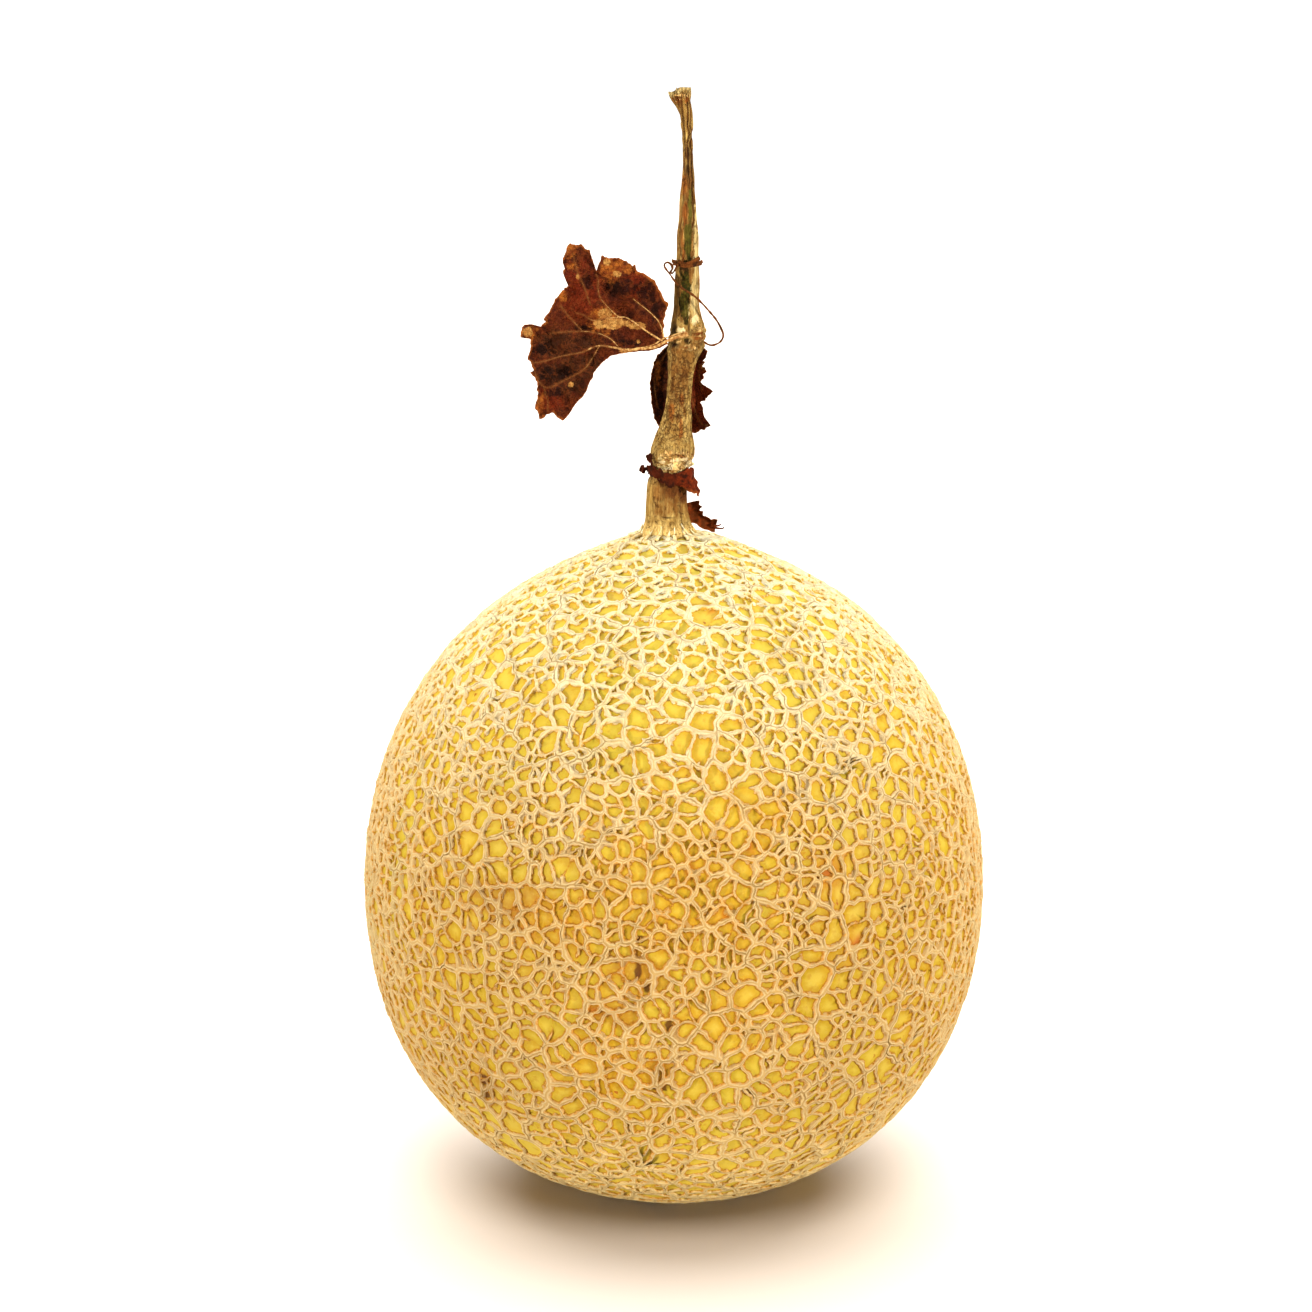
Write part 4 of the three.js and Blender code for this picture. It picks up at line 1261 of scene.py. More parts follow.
corky = ragged_area("corky", 0.4, 0.7)
lump = cloud(scale_place(place, (0.55, 0.55, 1.3)), 1.0, 3.0, 0.6, (4, 9, 2))
raised = corky * fade(lump, 0.43, 0.52)
chips = add_node("Group", 0, {"Place": place, "Size": 0.75, "Share": 0.7}, node_tree=specks)
chips *= compute("MAXIMUM", stored("mottled"), stored("green") * 0.6)
crossing = thin_lines(cloud(scale_place(place, (0.45, 0.45, 2.2)), 1.5), 0.025)
crossing *= fade(cloud(place, 3.2, shift=(5, 2, 9)), 0.5, 0.6) * fade(over_seat, 44.0, 36.0)
bend = add_node("TexNoise", "Color", {"Vector": place, "Scale": 0.8, "Detail": 2.0})
bent_inputs = {0: bend, 1: (1.6, 1.6, 1.6), 2: place}
bent = add_node("VectorMath", 0, bent_inputs, operation="MULTIPLY_ADD")
crackle = cell_borders(scale_place(bent, (0.95, 0.95, 0.7)), 1.0, 0.13)
crackle *= fade(cloud(place, 1.3, 3.0, shift=(1, 4, 6)), 0.36, 0.5)
crackle *= fade(over_seat, 18.0, 24.0) * fade(over_seat, 45.0, 41.0)
cracked = compute("MAXIMUM", crossing, crackle)
fissure = thin_lines(cloud(scale_place(place, (1, 1, 0.16)), 0.9, 3.0, 0.6), 0.035)
fissure *= fade(cloud(place, 3.0), 0.38, 0.55) * fade(stored("foot"), 0.0, 1.0, 1.0, 0.35)
dark = stored("dark")
dark_bark = blend(2.6, (118, 74, 29), (151, 106, 49))
pale_bark = blend(2.2, (206, 171, 96), (178, 139, 69))
green = blend(1.3, (38, 37, 6), (74, 64, 16))
green = coats(green, (fade(over_seat, 62.0, 78.0), 0.7, (109, 97, 35)))
bark = coats(
    paint(fade(stored("pale") + torn, 0.05, 0.85), dark_bark, pale_bark),
    (streaks(1.3, (1, 1, 0.12)), 0.35, (114, 74, 29)),
    (streak, 0.45, (101, 61, 22)),
    (stored("groove"), 1, paint(fade(over_seat, 86.0, 96.0), (72, 38, 12), (89, 46, 12))),
    # rusty areas, and painted shade in the wrinkles' hollows
    (ragged_area("rust_and_shade", 0.35, 0.7), 0.75, streaked((155, 87, 30), (118, 53, 12))),
    # painted shadow of the collar on the foot
    (ragged_area("green", 0.35, 0.5), 1, green),
    (ragged_area("collar_shadow", 0.2, 0.8), 0.85, (83, 38, 10)),
    (raised, 0.85, streaked((250, 206, 130), (214, 154, 80))),
    # Painted shade in the furrows between the corky lumps.
    (corky * fade(lump, 0.43, 0.37), 0.8, (112, 52, 20)),
    (ragged_area("cream"), 1, streaked((208, 182, 121), (173, 142, 81))),
    (ragged_area("white", 0.35, 0.55), 0.85, (244, 214, 156)),
    (stored("foot"), 0.8, streaked((250, 214, 132), (220, 176, 94))),
    (chips, 1, (76, 42, 15)),
    (cracked, 0.8, (74, 42, 14)),
    (fissure, 0.7, (76, 44, 15)),
    # dark marks, with painted shade in the joint's hollow and in the wrinkles
    (dark, 0.94, (44, 22, 8)),
)
relief = streak * -0.8 - (fissure + cracked + dark)
relief += cloud(place, 0.5, 3.0) * 0.8 + raised * 2.5
finish_material(bark, 0.78, 0.03, relief, 0.25)
add_piece("dried_stem", stem_points, stem_triangles, "stem", "vine", stem_material, stem_attributes)

# %% [markdown]
# ## The net's roots
#
# Where the stem leaves the crown, a few cork strands climb on to its foot. They have the
# rind's own material, so they look like the net that they come from.

# %% Strands that climb the foot
ROOT_STRANDS, ROOT_STEPS = 26, 16
ROOT_RADIUS, ROOT_SUNK, ROOT_START = 0.5, 0.05, 1.1  # the start is so far under the seat
ROOT_CLIMB, CLIMB_MORE = 0.8, 2.4
root = np.arange(ROOT_STRANDS)[:, None]
root_turn = (root + 0.7 * chance(root, 301)) / ROOT_STRANDS * 2 * np.pi
root_climb = ROOT_CLIMB + CLIMB_MORE * chance(root, 302) ** 2  # how high each one climbs
root_lean = 0.5 * (chance(root, 303) - 0.5)
root_share = np.linspace(0, 1, ROOT_STEPS)
root_level = (root_climb + ROOT_START) * root_share**1.5 - ROOT_START
on_crown = 7.2 - 3.2 * (root_level + 0.4)  # how far from the stem's middle line they start
root_reach = np.where(root_level < -0.4, on_crown, station(root_level, 2)) - ROOT_SUNK
root_heading = root_turn + root_lean * root_share
root_lines = stacked(
    station(root_level, 1) + root_reach * np.cos(root_heading),
    root_reach * np.sin(root_heading),
    SEAT_LEVEL + root_level,
)
root_radii = ROOT_RADIUS * (1 - 0.8 * root_share**1.5)
root_points, root_triangles = join([thread_solid(line, root_radii) for line in root_lines])
root_width = np.full(len(root_points), 0.6)
add_piece(
    "foot_strands", root_points, root_triangles, "stem", "vine", rind_material,
    {"edge": 0.32 * root_width, "width": root_width, "cord": 0 * root_width, "tone": root_width},
)

# %% [markdown]
# ## The withered leaves
#
# A leaf is a thin crumpled sheet. Its outline is drawn flat, as seen from the front, and
# rings of points shrink from the outline to the leaf's middle. A formula then sets every
# point back or forward, so that the leaf bends, folds and crumples. The veins are fine
# threads that lie on the front face and follow the same formula.

# %% Leaf outlines and veins, to the right and up from where each leaf joins the stem


def flat_points(numbers):
    """Flat points, from their places to the right and up, listed in turn."""
    return np.reshape(numbers, (-1, 2))


SIDE_LEAF_JOINT = np.array([-2.0, -4.6, SEAT_LEVEL + 45.1])
SIDE_LEAF_MIDDLE = np.array([-18.0, 0.5])
SIDE_LEAF_OUTLINE = flat_points([
    -0.6, 1.6, -0.5, 3.1, -0.6, 4.3, -0.3, 5.6, 0, 6.9, 0.5, 8.3, 0.4, 9.2, -0.3, 9.6, -0.6, 10.5,
    -1.3, 11.5, -1.7, 12.6, -2.2, 13.5, -3, 14.5, -3.9, 15.2, -5.1, 15.8, -6.2, 16.2, -6.8, 16.5,
    -7, 17.8, -7.4, 18, -7.6, 17.5, -8.4, 18.1, -9.3, 18.7, -10.4, 19.3, -11, 19.6, -11.4, 19.5,
    -12.2, 19.5, -13.1, 19.5, -14.1, 19.7, -14.7, 20.1, -15, 19.8, -15.1, 18.9, -15.6, 18.1,
    -15.9, 17.2, -16.1, 16.4, -16.5, 17.6, -16.9, 18.7, -17.2, 19.6, -17.5, 20.7, -17.7, 21.5,
    -18.2, 21.3, -18.6, 21.4, -19, 22.1, -19.6, 22.5, -20.4, 22.4, -21.3, 22.5, -22.2, 22.7,
    -22.7, 22.4, -23, 21.8, -23.2, 20.8, -23.5, 20.1, -23.9, 19.3, -24, 18.3, -23.7, 17.6,
    -23.3, 17, -24, 16.5, -23.9, 15.7, -23.5, 14.8, -23.1, 13.9, -22.5, 13.4, -22, 12.9,
    -22.7, 12.8, -23.5, 12.3, -24.4, 11.5, -25.2, 10.5, -26, 9.5, -26.6, 8.2, -27.1, 7.1,
    -27.8, 6.2, -28.4, 5.6, -28.6, 4.9, -28.1, 4.5, -28.6, 4.2, -29.2, 3.5, -29.7, 2.9,
    -30.2, 3.3, -31, 3.7, -31.9, 3.8, -33, 3.7, -33.6, 3.3, -33.9, 2.4, -34.1, 1.5, -34, 0.7,
    -33, 0.6, -32.1, 0.5, -31.6, 0.3, -31.8, -0.6, -31.7, -1.5, -32, -2.5, -32.3, -3.4,
    -32.6, -4.4, -32, -4.8, -31.7, -5.6, -31.3, -6.3, -31, -7.1, -31.9, -7.5, -31.6, -8.1,
    -30.8, -8.9, -30.3, -10.1, -30.4, -11.4, -30.2, -12.5, -30.4, -13.9, -30.9, -15.2, -31, -16.1,
    -30.4, -16.9, -30.1, -17.8, -30, -18.9, -29.1, -18.6, -28.6, -18.3, -28.3, -17.6,
    -27.5, -17.6, -27, -17.1, -26.3, -17.5, -25.9, -18.2, -25.1, -18.8, -24.3, -19, -23.5, -18.2,
    -22.6, -17.2, -22, -16.1, -21.2, -15, -20.3, -14, -19.3, -12.9, -18.6, -11.7, -18.1, -10.3,
    -17.6, -9.2, -17, -8.4, -16.9, -7.5, -16.1, -6.6, -15.3, -5.6, -14.2, -4.5, -12.9, -3.5,
    -11.1, -3, -8.9, -2.6, -6.4, -2.3, -4.2, -2.2, -2.3, -1.7, -0.7, -1.1, 0.4, -0.5, 0.2, 0.4,
])
SIDE_LEAF_VEINS = {  # thickness at its start and end, and its route
    "midrib": (0.36, 0.07, [
        1.6, 0.5, -0.2, 0, -2.7, -1.2, -6.4, -1.7, -9.5, -1.9, -12, -1.4, -14.5, -0.9, -15.7, -1,
        -17.3, -1.5, -19.2, -2.4, -22, -3, -25.2, -3.8, -28.3, -4.7, -30.8, -5.2, -32.1, -4.8,
    ]),
    "stalk": (0.52, 0.3, [
        5, 1.9, 4.2, 1.5, 2.8, 1.1, 1.2, 0.6, -0.6, -0.2, -2.7, -1.2, -5.6, -1.7,
    ]),
    "stalk_fibre": (0.2, 0.1, [
        4.4, 2.1, 2.8, 1.8, 1, 1.2, -0.8, 0.6, -2.6, -0.5, -4.6, -1.2, -7, -1.5,
    ]),
    "lower_loop": (0.1, 0.06, [
        -15.7, -1.4, -17.3, -4.1, -18.6, -6, -20.2, -7.3, -22.7, -8.7, -24.6, -9.6, -27.1, -10.9,
        -28.7, -10.9, -30, -9.4, -31.2, -6.2,
    ]),
    "upper_vein": (0.22, 0.05, [
        -0.8, 0.2, -2.7, 1.3, -5.1, 2.9, -7.6, 4.7, -9.5, 5.6, -11.1, 5.8, -12.9, 7.4, -14.4, 9,
        -15.4, 10.5, -15.8, 12.6, -15.7, 14.2, -16.2, 15.6,
    ]),
    "middle_vein": (0.11, 0.05, [
        -11.1, -1.2, -12.9, 0.7, -15.1, 1.7, -17, 2.1, -18.9, 2.2, -22, 2.2, -25.1, 2, -27, 1.7,
    ]),
    "right_vein": (0.16, 0.05, [
        -0.5, 1, -0.8, 2.5, -1.7, 4.7, -3, 6.2, -4.5, 7.5, -6.4, 9, -7.6, 10,
    ]),
    "patch_vein": (0.08, 0.05, [-11.1, 5.6, -13.8, 5.4, -17, 4.9, -19.1, 6.1, -21, 6.6]),
    "tip_vein": (0.07, 0.05, [-28.7, -10.9, -28.4, -12.5, -27.8, -14.4, -27.9, -16.6]),
    "left_lobe_vein": (0.07, 0.05, [-17.6, 8.6, -19, 12.6, -20.6, 16.4, -21.6, 20.4]),
    "shoulder_vein": (0.07, 0.05, [-19.4, 2.2, -22.4, 5.4, -24.6, 8.2]),
}
BACK_LEAF_JOINT = np.array([2.8, 5.3, SEAT_LEVEL + 46.1])
BACK_LEAF_MIDDLE = np.array([-1.5, -12.0])
BACK_LEAF_OUTLINE = flat_points([
    1.5, -0.2, 3.4, -2.4, 4.8, -3.5, 5, -4, 4.7, -5.4, 3.9, -5.9, 4.5, -6.4, 3.9, -7.4, 4.6, -7.7,
    4.9, -8.6, 4.1, -9.4, 4.3, -10.3, 3.6, -10.8, 3.7, -11.5, 4.7, -12, 5.6, -12.5, 6.4, -13.1,
    5.6, -14, 4.5, -15.3, 3.4, -16.1, 3.9, -16.6, 4.1, -17.6, 4.3, -19, 4.7, -20.1, 5.6, -20.8,
    5.9, -21.3, 4.7, -22.1, 4.5, -22.7, 3.7, -22.5, 3.1, -23.1, 2.3, -23.5, 1.3, -23.5,
    -0.4, -24.1, -2.7, -23.7, -4.6, -23.2, -5.9, -22.6, -6.5, -21.7, -7.1, -20.6, -7.6, -19,
    -8, -17.5, -8.3, -15.5, -8.4, -13.6, -8.6, -11.7, -8.4, -9.9, -8, -8, -7.6, -6.5, -7.2, -5.4,
    -5.6, -3.6, -1.8, -0.4,
])
BACK_LEAF_VEINS = {
    "right_edge_vein": (0.07, 0.04, [1.6, -3, 3, -6, 3.2, -10, 3.8, -12.9]),
    "right_low_vein": (0.07, 0.04, [1.2, -14, 2.2, -18, 3.6, -21, 5.2, -21.2]),
    "left_edge_vein": (0.06, 0.04, [-4.4, -4, -6.8, -8, -7.4, -12, -6.8, -17]),
}

# %% How far each point of a leaf is set back


def side_leaf_form(right, up):
    """The solid leaf's bend, lean and crumple, with finer folds over them."""
    bend = 5 * (right / 33) ** 2
    lean = np.where(up > 0, -3 * (up / 22) ** 2, 3 * (up / 18) ** 2)
    crumple = 0.6 * np.sin(0.62 * right + 0.35 * up) + 0.5 * np.sin(0.7 * up - 0.3 * right)
    flat = stacked(right, up, 0)
    folds = 0.45 * soft_noise(flat, 6.0, 401, 24) + 0.16 * soft_noise(flat, 2.0, 411, 30)
    creases = 0.7 * (0.5 - np.abs(soft_noise(flat, 6.0, 421, 20)))
    held = smooth_step(-right, 0.5, 5.0)  # no folds where it joins the stem
    return bend + lean + crumple + held * (folds + creases)


def back_leaf_form(right, up):
    """The solid leaf's channel, which holds the stem in its hollow, with folds over it."""
    channel = 1.6 - 4 * ((right + 1.5) / 7) ** 2
    flat = stacked(right, up, 0)
    folds = 0.25 * soft_noise(flat, 5.0, 431, 24) + 0.08 * soft_noise(flat, 2.0, 441, 30)
    return channel + 0.35 * np.sin(0.8 * up + 0.4 * right) + folds

# %% Build a leaf
LEAF_THICKNESS, EDGE_THICKNESS = 0.34, 0.14
TOOTH = 0.22


def blade_solid(outline, middle, joint, form, spokes, rings):
    """The blade, with each point's flat place and its nearness to the edge, 0 to 1."""
    closed = np.concatenate([outline, outline[:1]])
    lengths = np.linalg.norm(np.diff(closed, axis=0), axis=1)
    run = np.concatenate([[0], np.cumsum(lengths)])
    place = np.linspace(0, run[-1], spokes, endpoint=False)
    rim_line = stacked(*(np.interp(place, run, axis) for axis in closed.T))
    teeth = soft_noise(stacked(*rim_line.T, 0), 1.3, 451, 30)
    rim_line += unit(rim_line - middle) * (TOOTH * np.abs(teeth) - TOOTH / 2)[:, None]
    out = (np.arange(1, rings + 1) / rings) ** 0.85
    flat = middle + out[:, None, None] * (rim_line - middle)
    flat = np.concatenate([middle[None], flat.reshape(-1, 2)])
    nearness = np.concatenate([[0], np.repeat(out, spokes)])
    thick = LEAF_THICKNESS + (EDGE_THICKNESS - LEAF_THICKNESS) * nearness**6
    right, up = flat.T
    layers = [joint + stacked(right, form(right, up) + side * thick / 2, up) for side in (-1, 1)]
    spoke = np.arange(spokes)
    beside = (spoke + 1) % spokes
    inner = 1 + np.arange(rings - 1)[:, None] * spokes
    here, next_to = (inner + spoke).ravel(), (inner + beside).ravel()
    faces = np.concatenate([
        stacked(0, 1 + spoke, 1 + beside),
        quads(here, here + spokes, next_to + spokes, next_to),
    ])
    points, triangles = sheet_solid(*layers, faces, 1 + (rings - 1) * spokes + spoke)
    return points, triangles, np.tile(flat, (2, 1)), np.tile(nearness, 2)


def near_patches(flat, patches):
    """1 inside the nearest oval patch, 0 well outside: middle, reach right, reach up."""
    shares = [
        1.5 - np.hypot((flat[:, 0] - right) / wide, (flat[:, 1] - up) / tall)
        for right, up, wide, tall in patches
    ]
    return np.clip(np.max(shares, axis=0), 0, 1)


def vein_threads(veins, joint, form):
    """Threads along the veins, on the blade's front face, and their flat routes."""
    threads, routes = [], []
    for start_width, end_width, route in veins.values():
        corners = flat_points(route)
        flat = smooth_route(corners, 8 * len(corners))
        right, up = flat.T
        line = joint + stacked(right, form(right, up) - LEAF_THICKNESS / 2, up)
        radii = np.linspace(start_width, end_width, len(flat))
        radii = radii * (1 + 0.2 * soft_noise(line, 1.2, 461))
        threads.append(thread_solid(line, radii, flatness=0.75))
        routes.append(flat)
    return join(threads), np.concatenate(routes)


def vein_distance(flat, routes):
    """Distance in millimetres from each flat place to the nearest vein."""
    gaps = [
        np.linalg.norm(flat[:, None] - part[None], axis=2).min(axis=1)
        for part in np.array_split(routes, 4)
    ]
    return np.min(gaps, axis=0)

# %% Where the leaves are pale, golden, dark, dull and red: middle, reach to the right, reach up
SIDE_LEAF_PATCHES = {
    "pale": (
        (-12.9, 4.2, 4.4, 1.5), (-14.2, 6.4, 1.6, 1.4), (-6.9, 3.7, 2.3, 1), (-6.4, 0, .4, .5),
        (-22.3, -10.2, .75, .7), (-32.4, 2.2, 1.3, 1.3), (-20.5, 15.1, .5, .9),
        (-9.5, -2.2, 1.8, .5), (-13.6, 18.6, 1, .9), (-11.2, 15.6, 1.2, .8),
    ),
    "golden": (
        (-12.4, 17, 3.4, 2.7), (-21.8, 20.8, 1.5, 1.7), (-21.2, 17.3, 1.4, 1),
        (-24.1, 10.7, 1.6, 1.5), (-29.5, -15.2, 1.2, 2.4), (-28.3, 4.6, .9, 1.1),
        (-31.9, 2, 2, 1.7), (-9.2, 16.9, 1.8, 1.3), (-14.5, 5, 4.2, 3.2),
    ),
    "dark": (
        (-10, 12.7, 4, 2), (-4.2, 11.6, 2.4, 3.4), (-2.6, 6.6, 1.2, 2.4), (-17.3, 3.2, 4.2, .7),
        (-29, -2.1, 2.6, 1.6), (-23.7, -7.4, 2.6, 1.5), (-25.9, -12.1, 2.2, 1.3),
        (-27.6, -7.9, 2.6, 1.7), (-18.5, 14.2, 1.6, 2.6), (-8.2, -.2, 3.4, .8),
    ),
    "dull": (
        (-25, -1, 6.5, 4.2), (-24.5, -8.5, 5.5, 4.6), (-18, -.5, 3.5, 2), (-21, -5.5, 6, 3.5),
    ),
    "red": ((-19.5, 12, 4.5, 6), (-27.5, -14, 3, 3), (-6, 13, 4, 3)),
}
BACK_LEAF_PATCHES = {
    "pale": ((3.9, -7.5, .3, .5),),
    "golden": ((4.2, -7.6, .5, 1.6), (-6.6, -8, .7, 3)),
    "dark": ((-6, -10, 2.4, 10),),
    "dull": ((20, 0, 1, 1),),  # beyond its edge, so none of it is dull
    "red": ((4.4, -13.5, 3.6, 11),),
}

side_blade = blade_solid(
    SIDE_LEAF_OUTLINE, SIDE_LEAF_MIDDLE, SIDE_LEAF_JOINT, side_leaf_form, spokes=520, rings=40
)
side_veins, side_vein_routes = vein_threads(SIDE_LEAF_VEINS, SIDE_LEAF_JOINT, side_leaf_form)
back_blade = blade_solid(
    BACK_LEAF_OUTLINE, BACK_LEAF_MIDDLE, BACK_LEAF_JOINT, back_leaf_form, spokes=300, rings=22
)
back_veins, back_vein_routes = vein_threads(BACK_LEAF_VEINS, BACK_LEAF_JOINT, back_leaf_form)

# %% [markdown]
# The blade's material mixes dark and reddish browns, then lays a dull olive brown, red, dark,
# golden and pale patches over them with ragged borders, painted shade and highlights on the
# crumpled folds, a halo along the veins and a painted highlight along the edge. A net of small
# veins wrinkles the surface.

# %% The leaves' materials
leaf_material = new_material("withered_leaf")
place = millimetres()
ragged = fade(cloud(place, 2.2, 5.0, 0.7), 0.25, 0.75, -0.55, 0.55)
fleck = cloud(place, 0.9, 4.0, 0.7, (4, 4, 4))
crumple = abs(cloud(place, 3.6, 4.0, 0.6, (8, 3, 1)) - 0.5)


def patch(label, start, end, share=1.0):
    """A stored patch whose border is made ragged by a share of the noise."""
    return fade(stored(label) + ragged * share, start, end)


blade = coats(
    blend(5.0, (81, 29, 7), (52, 17, 4)),
    (patch("dull", 0.2, 0.9), 0.75, blend(1.4, (63, 35, 13), (40, 22, 8))),
    (patch("red", 0.1, 0.9), 0.65, (112, 34, 8)),
    (fade(fleck, 0.5, 0.72), 0.55, (96, 42, 14)),
    # Painted shade in the hollows between the crumples' folds.
    (fade(crumple, 0.06, 0.2), 0.45, (36, 12, 4)),
    (patch("dark", 0.3, 0.9), 0.85, (23, 7, 2)),
    (fade(crumple, 0.0, 0.05, 1.0, 0.0), 0.35, (112, 53, 18)),  # painted highlight on the sharp folds
    (patch("golden", 0.4, 0.9), 0.9, blend(1.6, (164, 92, 31), (113, 51, 16))),
    (patch("pale", 0.5, 0.7, 0.6), 0.92, blend(1.2, (192, 141, 72), (153, 99, 44))),
    (fade(stored("vein_gap"), 0.1, 0.55, 1.0, 0.0), 0.4, (130, 72, 30)),
    # Painted highlight along the leaf's edge.
    (patch("edge_share", 0.955, 1, 0.03), 0.7, (164, 88, 33)),
)
relief = cell_borders(place, 0.75, 0.12) * 0.5 + fleck + fade(crumple, 0.0, 0.2, 1.0, 0.0) * 1.5
finish_material(blade, 0.6, 0.03, relief, 0.45)

vein_material = new_material("leaf_vein")
place = millimetres()
wavy_right = axis_of(place, "X") + fade(cloud(place, 2.5), 0.3, 0.7, -5, 5)
far_out = compute("MAXIMUM", fade(wavy_right, -12.0, -22.0), fade(axis_of(place, "Y"), 2.0, 4.0))
vein_colour = coats(blend(0.7, (206, 162, 98), (140, 90, 44)), (far_out, 0.85, (88, 42, 16)))
finish_material(vein_colour, 0.7, 0.02)

leaves = (
    ("side_leaf", side_blade, side_vein_routes, SIDE_LEAF_PATCHES),
    ("back_leaf", back_blade, back_vein_routes, BACK_LEAF_PATCHES),
)
for name, (points, triangles, flat, nearness), routes, patches in leaves:
    values = {label: near_patches(flat, ovals) for label, ovals in patches.items()}
    values |= {"vein_gap": vein_distance(flat, routes), "edge_share": nearness}
    add_piece(name + "_blade", points, triangles, name, "dry_leaf", leaf_material, values)
add_piece("side_leaf_veins", *side_veins, "side_leaf", "dry_leaf", vein_material)
add_piece("back_leaf_veins", *back_veins, "back_leaf", "dry_leaf", vein_material)

# %% [markdown]
# ## The leaf base, its buds and the scrap
#
# A torn collar of dead leaf base hugs the front of the stem under the lower joint. It sags
# in the middle and hangs down in a flap on the right. Two dead buds stand on its left end,
# and a curled scrap of leaf lies between the stem's foot and the crown.

# %% The torn collar
COLLAR_CENTRE_X = -0.9
COLLAR_RADIUS = 5.2
COLLAR_ENDS = (-1.7, 1.65)  # radians from the front, to the right
COLLAR_TOP_LINE = np.array([  # angle, level
    [-1.7, 15.3], [-1.2, 15.7], [-0.7, 15.5], [-0.37, 14.7], [0.08, 14.2], [0.46, 14.7],
    [0.82, 15.3], [1.2, 15.4], [1.65, 14.6],
])
COLLAR_LOW_LINE = np.array([
    [-1.7, 14.5], [-1.05, 13.8], [-0.7, 12.9], [-0.37, 11.7], [0.08, 11.2], [0.5, 11.1],
    [0.75, 10.0], [1.05, 8.7], [1.3, 9.0], [1.65, 12.6],
])
FLAP_ANGLE, FLAP_SPREAD, FLAP_FLARE = 1.05, 0.42, 2.1
COLLAR_COLUMNS, COLLAR_ROWS = 150, 26
COLLAR_HALF = 0.16  # half its thickness

collar_angle = np.linspace(*COLLAR_ENDS, COLLAR_COLUMNS + 1)[:, None]
down = np.linspace(0, 1, COLLAR_ROWS + 1)[None, :]
around = stacked(collar_angle * 5, 0, 0)
flap = np.exp(-(((collar_angle - FLAP_ANGLE) / FLAP_SPREAD) ** 4))
top_tear = 0.5 * soft_noise(around, 1.4, 501, 30)
low_tear = 0.7 * soft_noise(around, 1.5, 511, 30) + 0.35 * soft_noise(around, 0.6, 521, 30)
top_line = np.interp(collar_angle, *COLLAR_TOP_LINE.T) + 0.6 * top_tear
low_line = np.interp(collar_angle, *COLLAR_LOW_LINE.T) + np.clip(0.7 * low_tear, -0.4, 0.6)
collar_level = top_line + (low_line - top_line) * down
ripple = 0.35 * soft_noise(stacked(5 * collar_angle, collar_level, 0), 2.4, 531, 24)
collar_reach = COLLAR_RADIUS + 0.3 * (1 - down) + FLAP_FLARE * flap * down**1.3
collar_reach = collar_reach + ripple * (0.3 + down)


def grid_faces(columns, rows):
    """The triangles and the rim of a grid of points, numbered column by column."""
    column, row = (part.ravel() for part in np.mgrid[0:columns, 0:rows])
    here = column * (rows + 1) + row
    beside = here + rows + 1
    along, across = np.arange(columns) * (rows + 1), np.arange(rows)
    last = columns * (rows + 1)
    rim = [along, last + across, (along + rows + 1 + rows)[::-1], (across + 1)[::-1]]
    return quads(here, beside, beside + 1, here + 1), np.concatenate(rim)


def wrapped_sheet(centre_x, reach, half, angle, level):
    """A sheet wrapped round an upright line, from its reach and level at each angle."""
    layers = [
        stacked(
            centre_x + (reach + side * half) * np.sin(angle),
            -(reach + side * half) * np.cos(angle),
            SEAT_LEVEL + level,
        ).reshape(-1, 3)
        for side in (1, -1)
    ]
    return sheet_solid(*layers, *grid_faces(len(level) - 1, level.shape[1] - 1))


collar = wrapped_sheet(COLLAR_CENTRE_X, collar_reach, COLLAR_HALF, collar_angle, collar_level)

# %% The buds
BUDS = (  # middle, and where its stalk starts
    ([-5.9, -3.5, 17.9], [-5.2, -3.2, 15.6]),
    ([-7.4, -1.2, 14.8], [-6.0, -1.0, 15.3]),
)
BUD_RADIUS, BUD_STALK_RADIUS = 0.85, 0.3
bud_solids = []
rise = np.linspace(0, np.pi, 22)[1:-1, None]
around_bud = np.arange(28)[None, :] / 28 * 2 * np.pi
ball = stacked(np.sin(rise) * np.cos(around_bud), np.sin(rise) * np.sin(around_bud), -np.cos(rise))
for centre, foot in BUDS:
    lumps = 0.22 * soft_noise(ball * BUD_RADIUS + np.array(centre), 0.9, 541, 24)
    bud = ball * (BUD_RADIUS * (0.86 + lumps))[:, :, None] * np.array([1, 1, 1.25])
    bud_solids.append(tube_solid(bud + np.array(centre) + [0, 0, SEAT_LEVEL]))
    stalk = over_seat_route([foot, np.add(foot, centre) / 2 + [0.1, 0, 0.1], centre], 14)
    bud_solids.append(thread_solid(stalk, BUD_STALK_RADIUS))

# %% The scrap of leaf
SCRAP_ROUTE = [[4.0, 1.4, 6.6], [4.6, 1.6, 4.4], [5.9, 2.1, 2.6], [8.0, 2.7, 1.3], [10.1, 3.0, 0.8]]
SCRAP_WIDTH, SCRAP_TIP_WIDTH, SCRAP_CUP = 3.6, 3.0, 1.3
SCRAP_COLUMNS, SCRAP_ROWS = 90, 26
SCRAP_HALF = 0.17  # half its thickness
SCRAP_HOOKS = (
    [[9.4, 3.0, 0.8], [10.6, 2.9, 0.9], [11.3, 2.8, 1.3]],
    [[9.5, 3.1, 0.4], [10.8, 3.0, 0.2], [11.6, 2.9, 0.2], [12.0, 2.8, 0.6]],
)
scrap_line = smooth_route(SCRAP_ROUTE, SCRAP_COLUMNS + 1)
scrap_run = unit(np.gradient(scrap_line, axis=0))
scrap_across = unit(stacked(-scrap_run[:, 2], 0, scrap_run[:, 0]))
scrap_share = np.linspace(0, 1, SCRAP_COLUMNS + 1)
tears = 1 + 0.22 * soft_noise(scrap_line, 1.6, 551, 30)
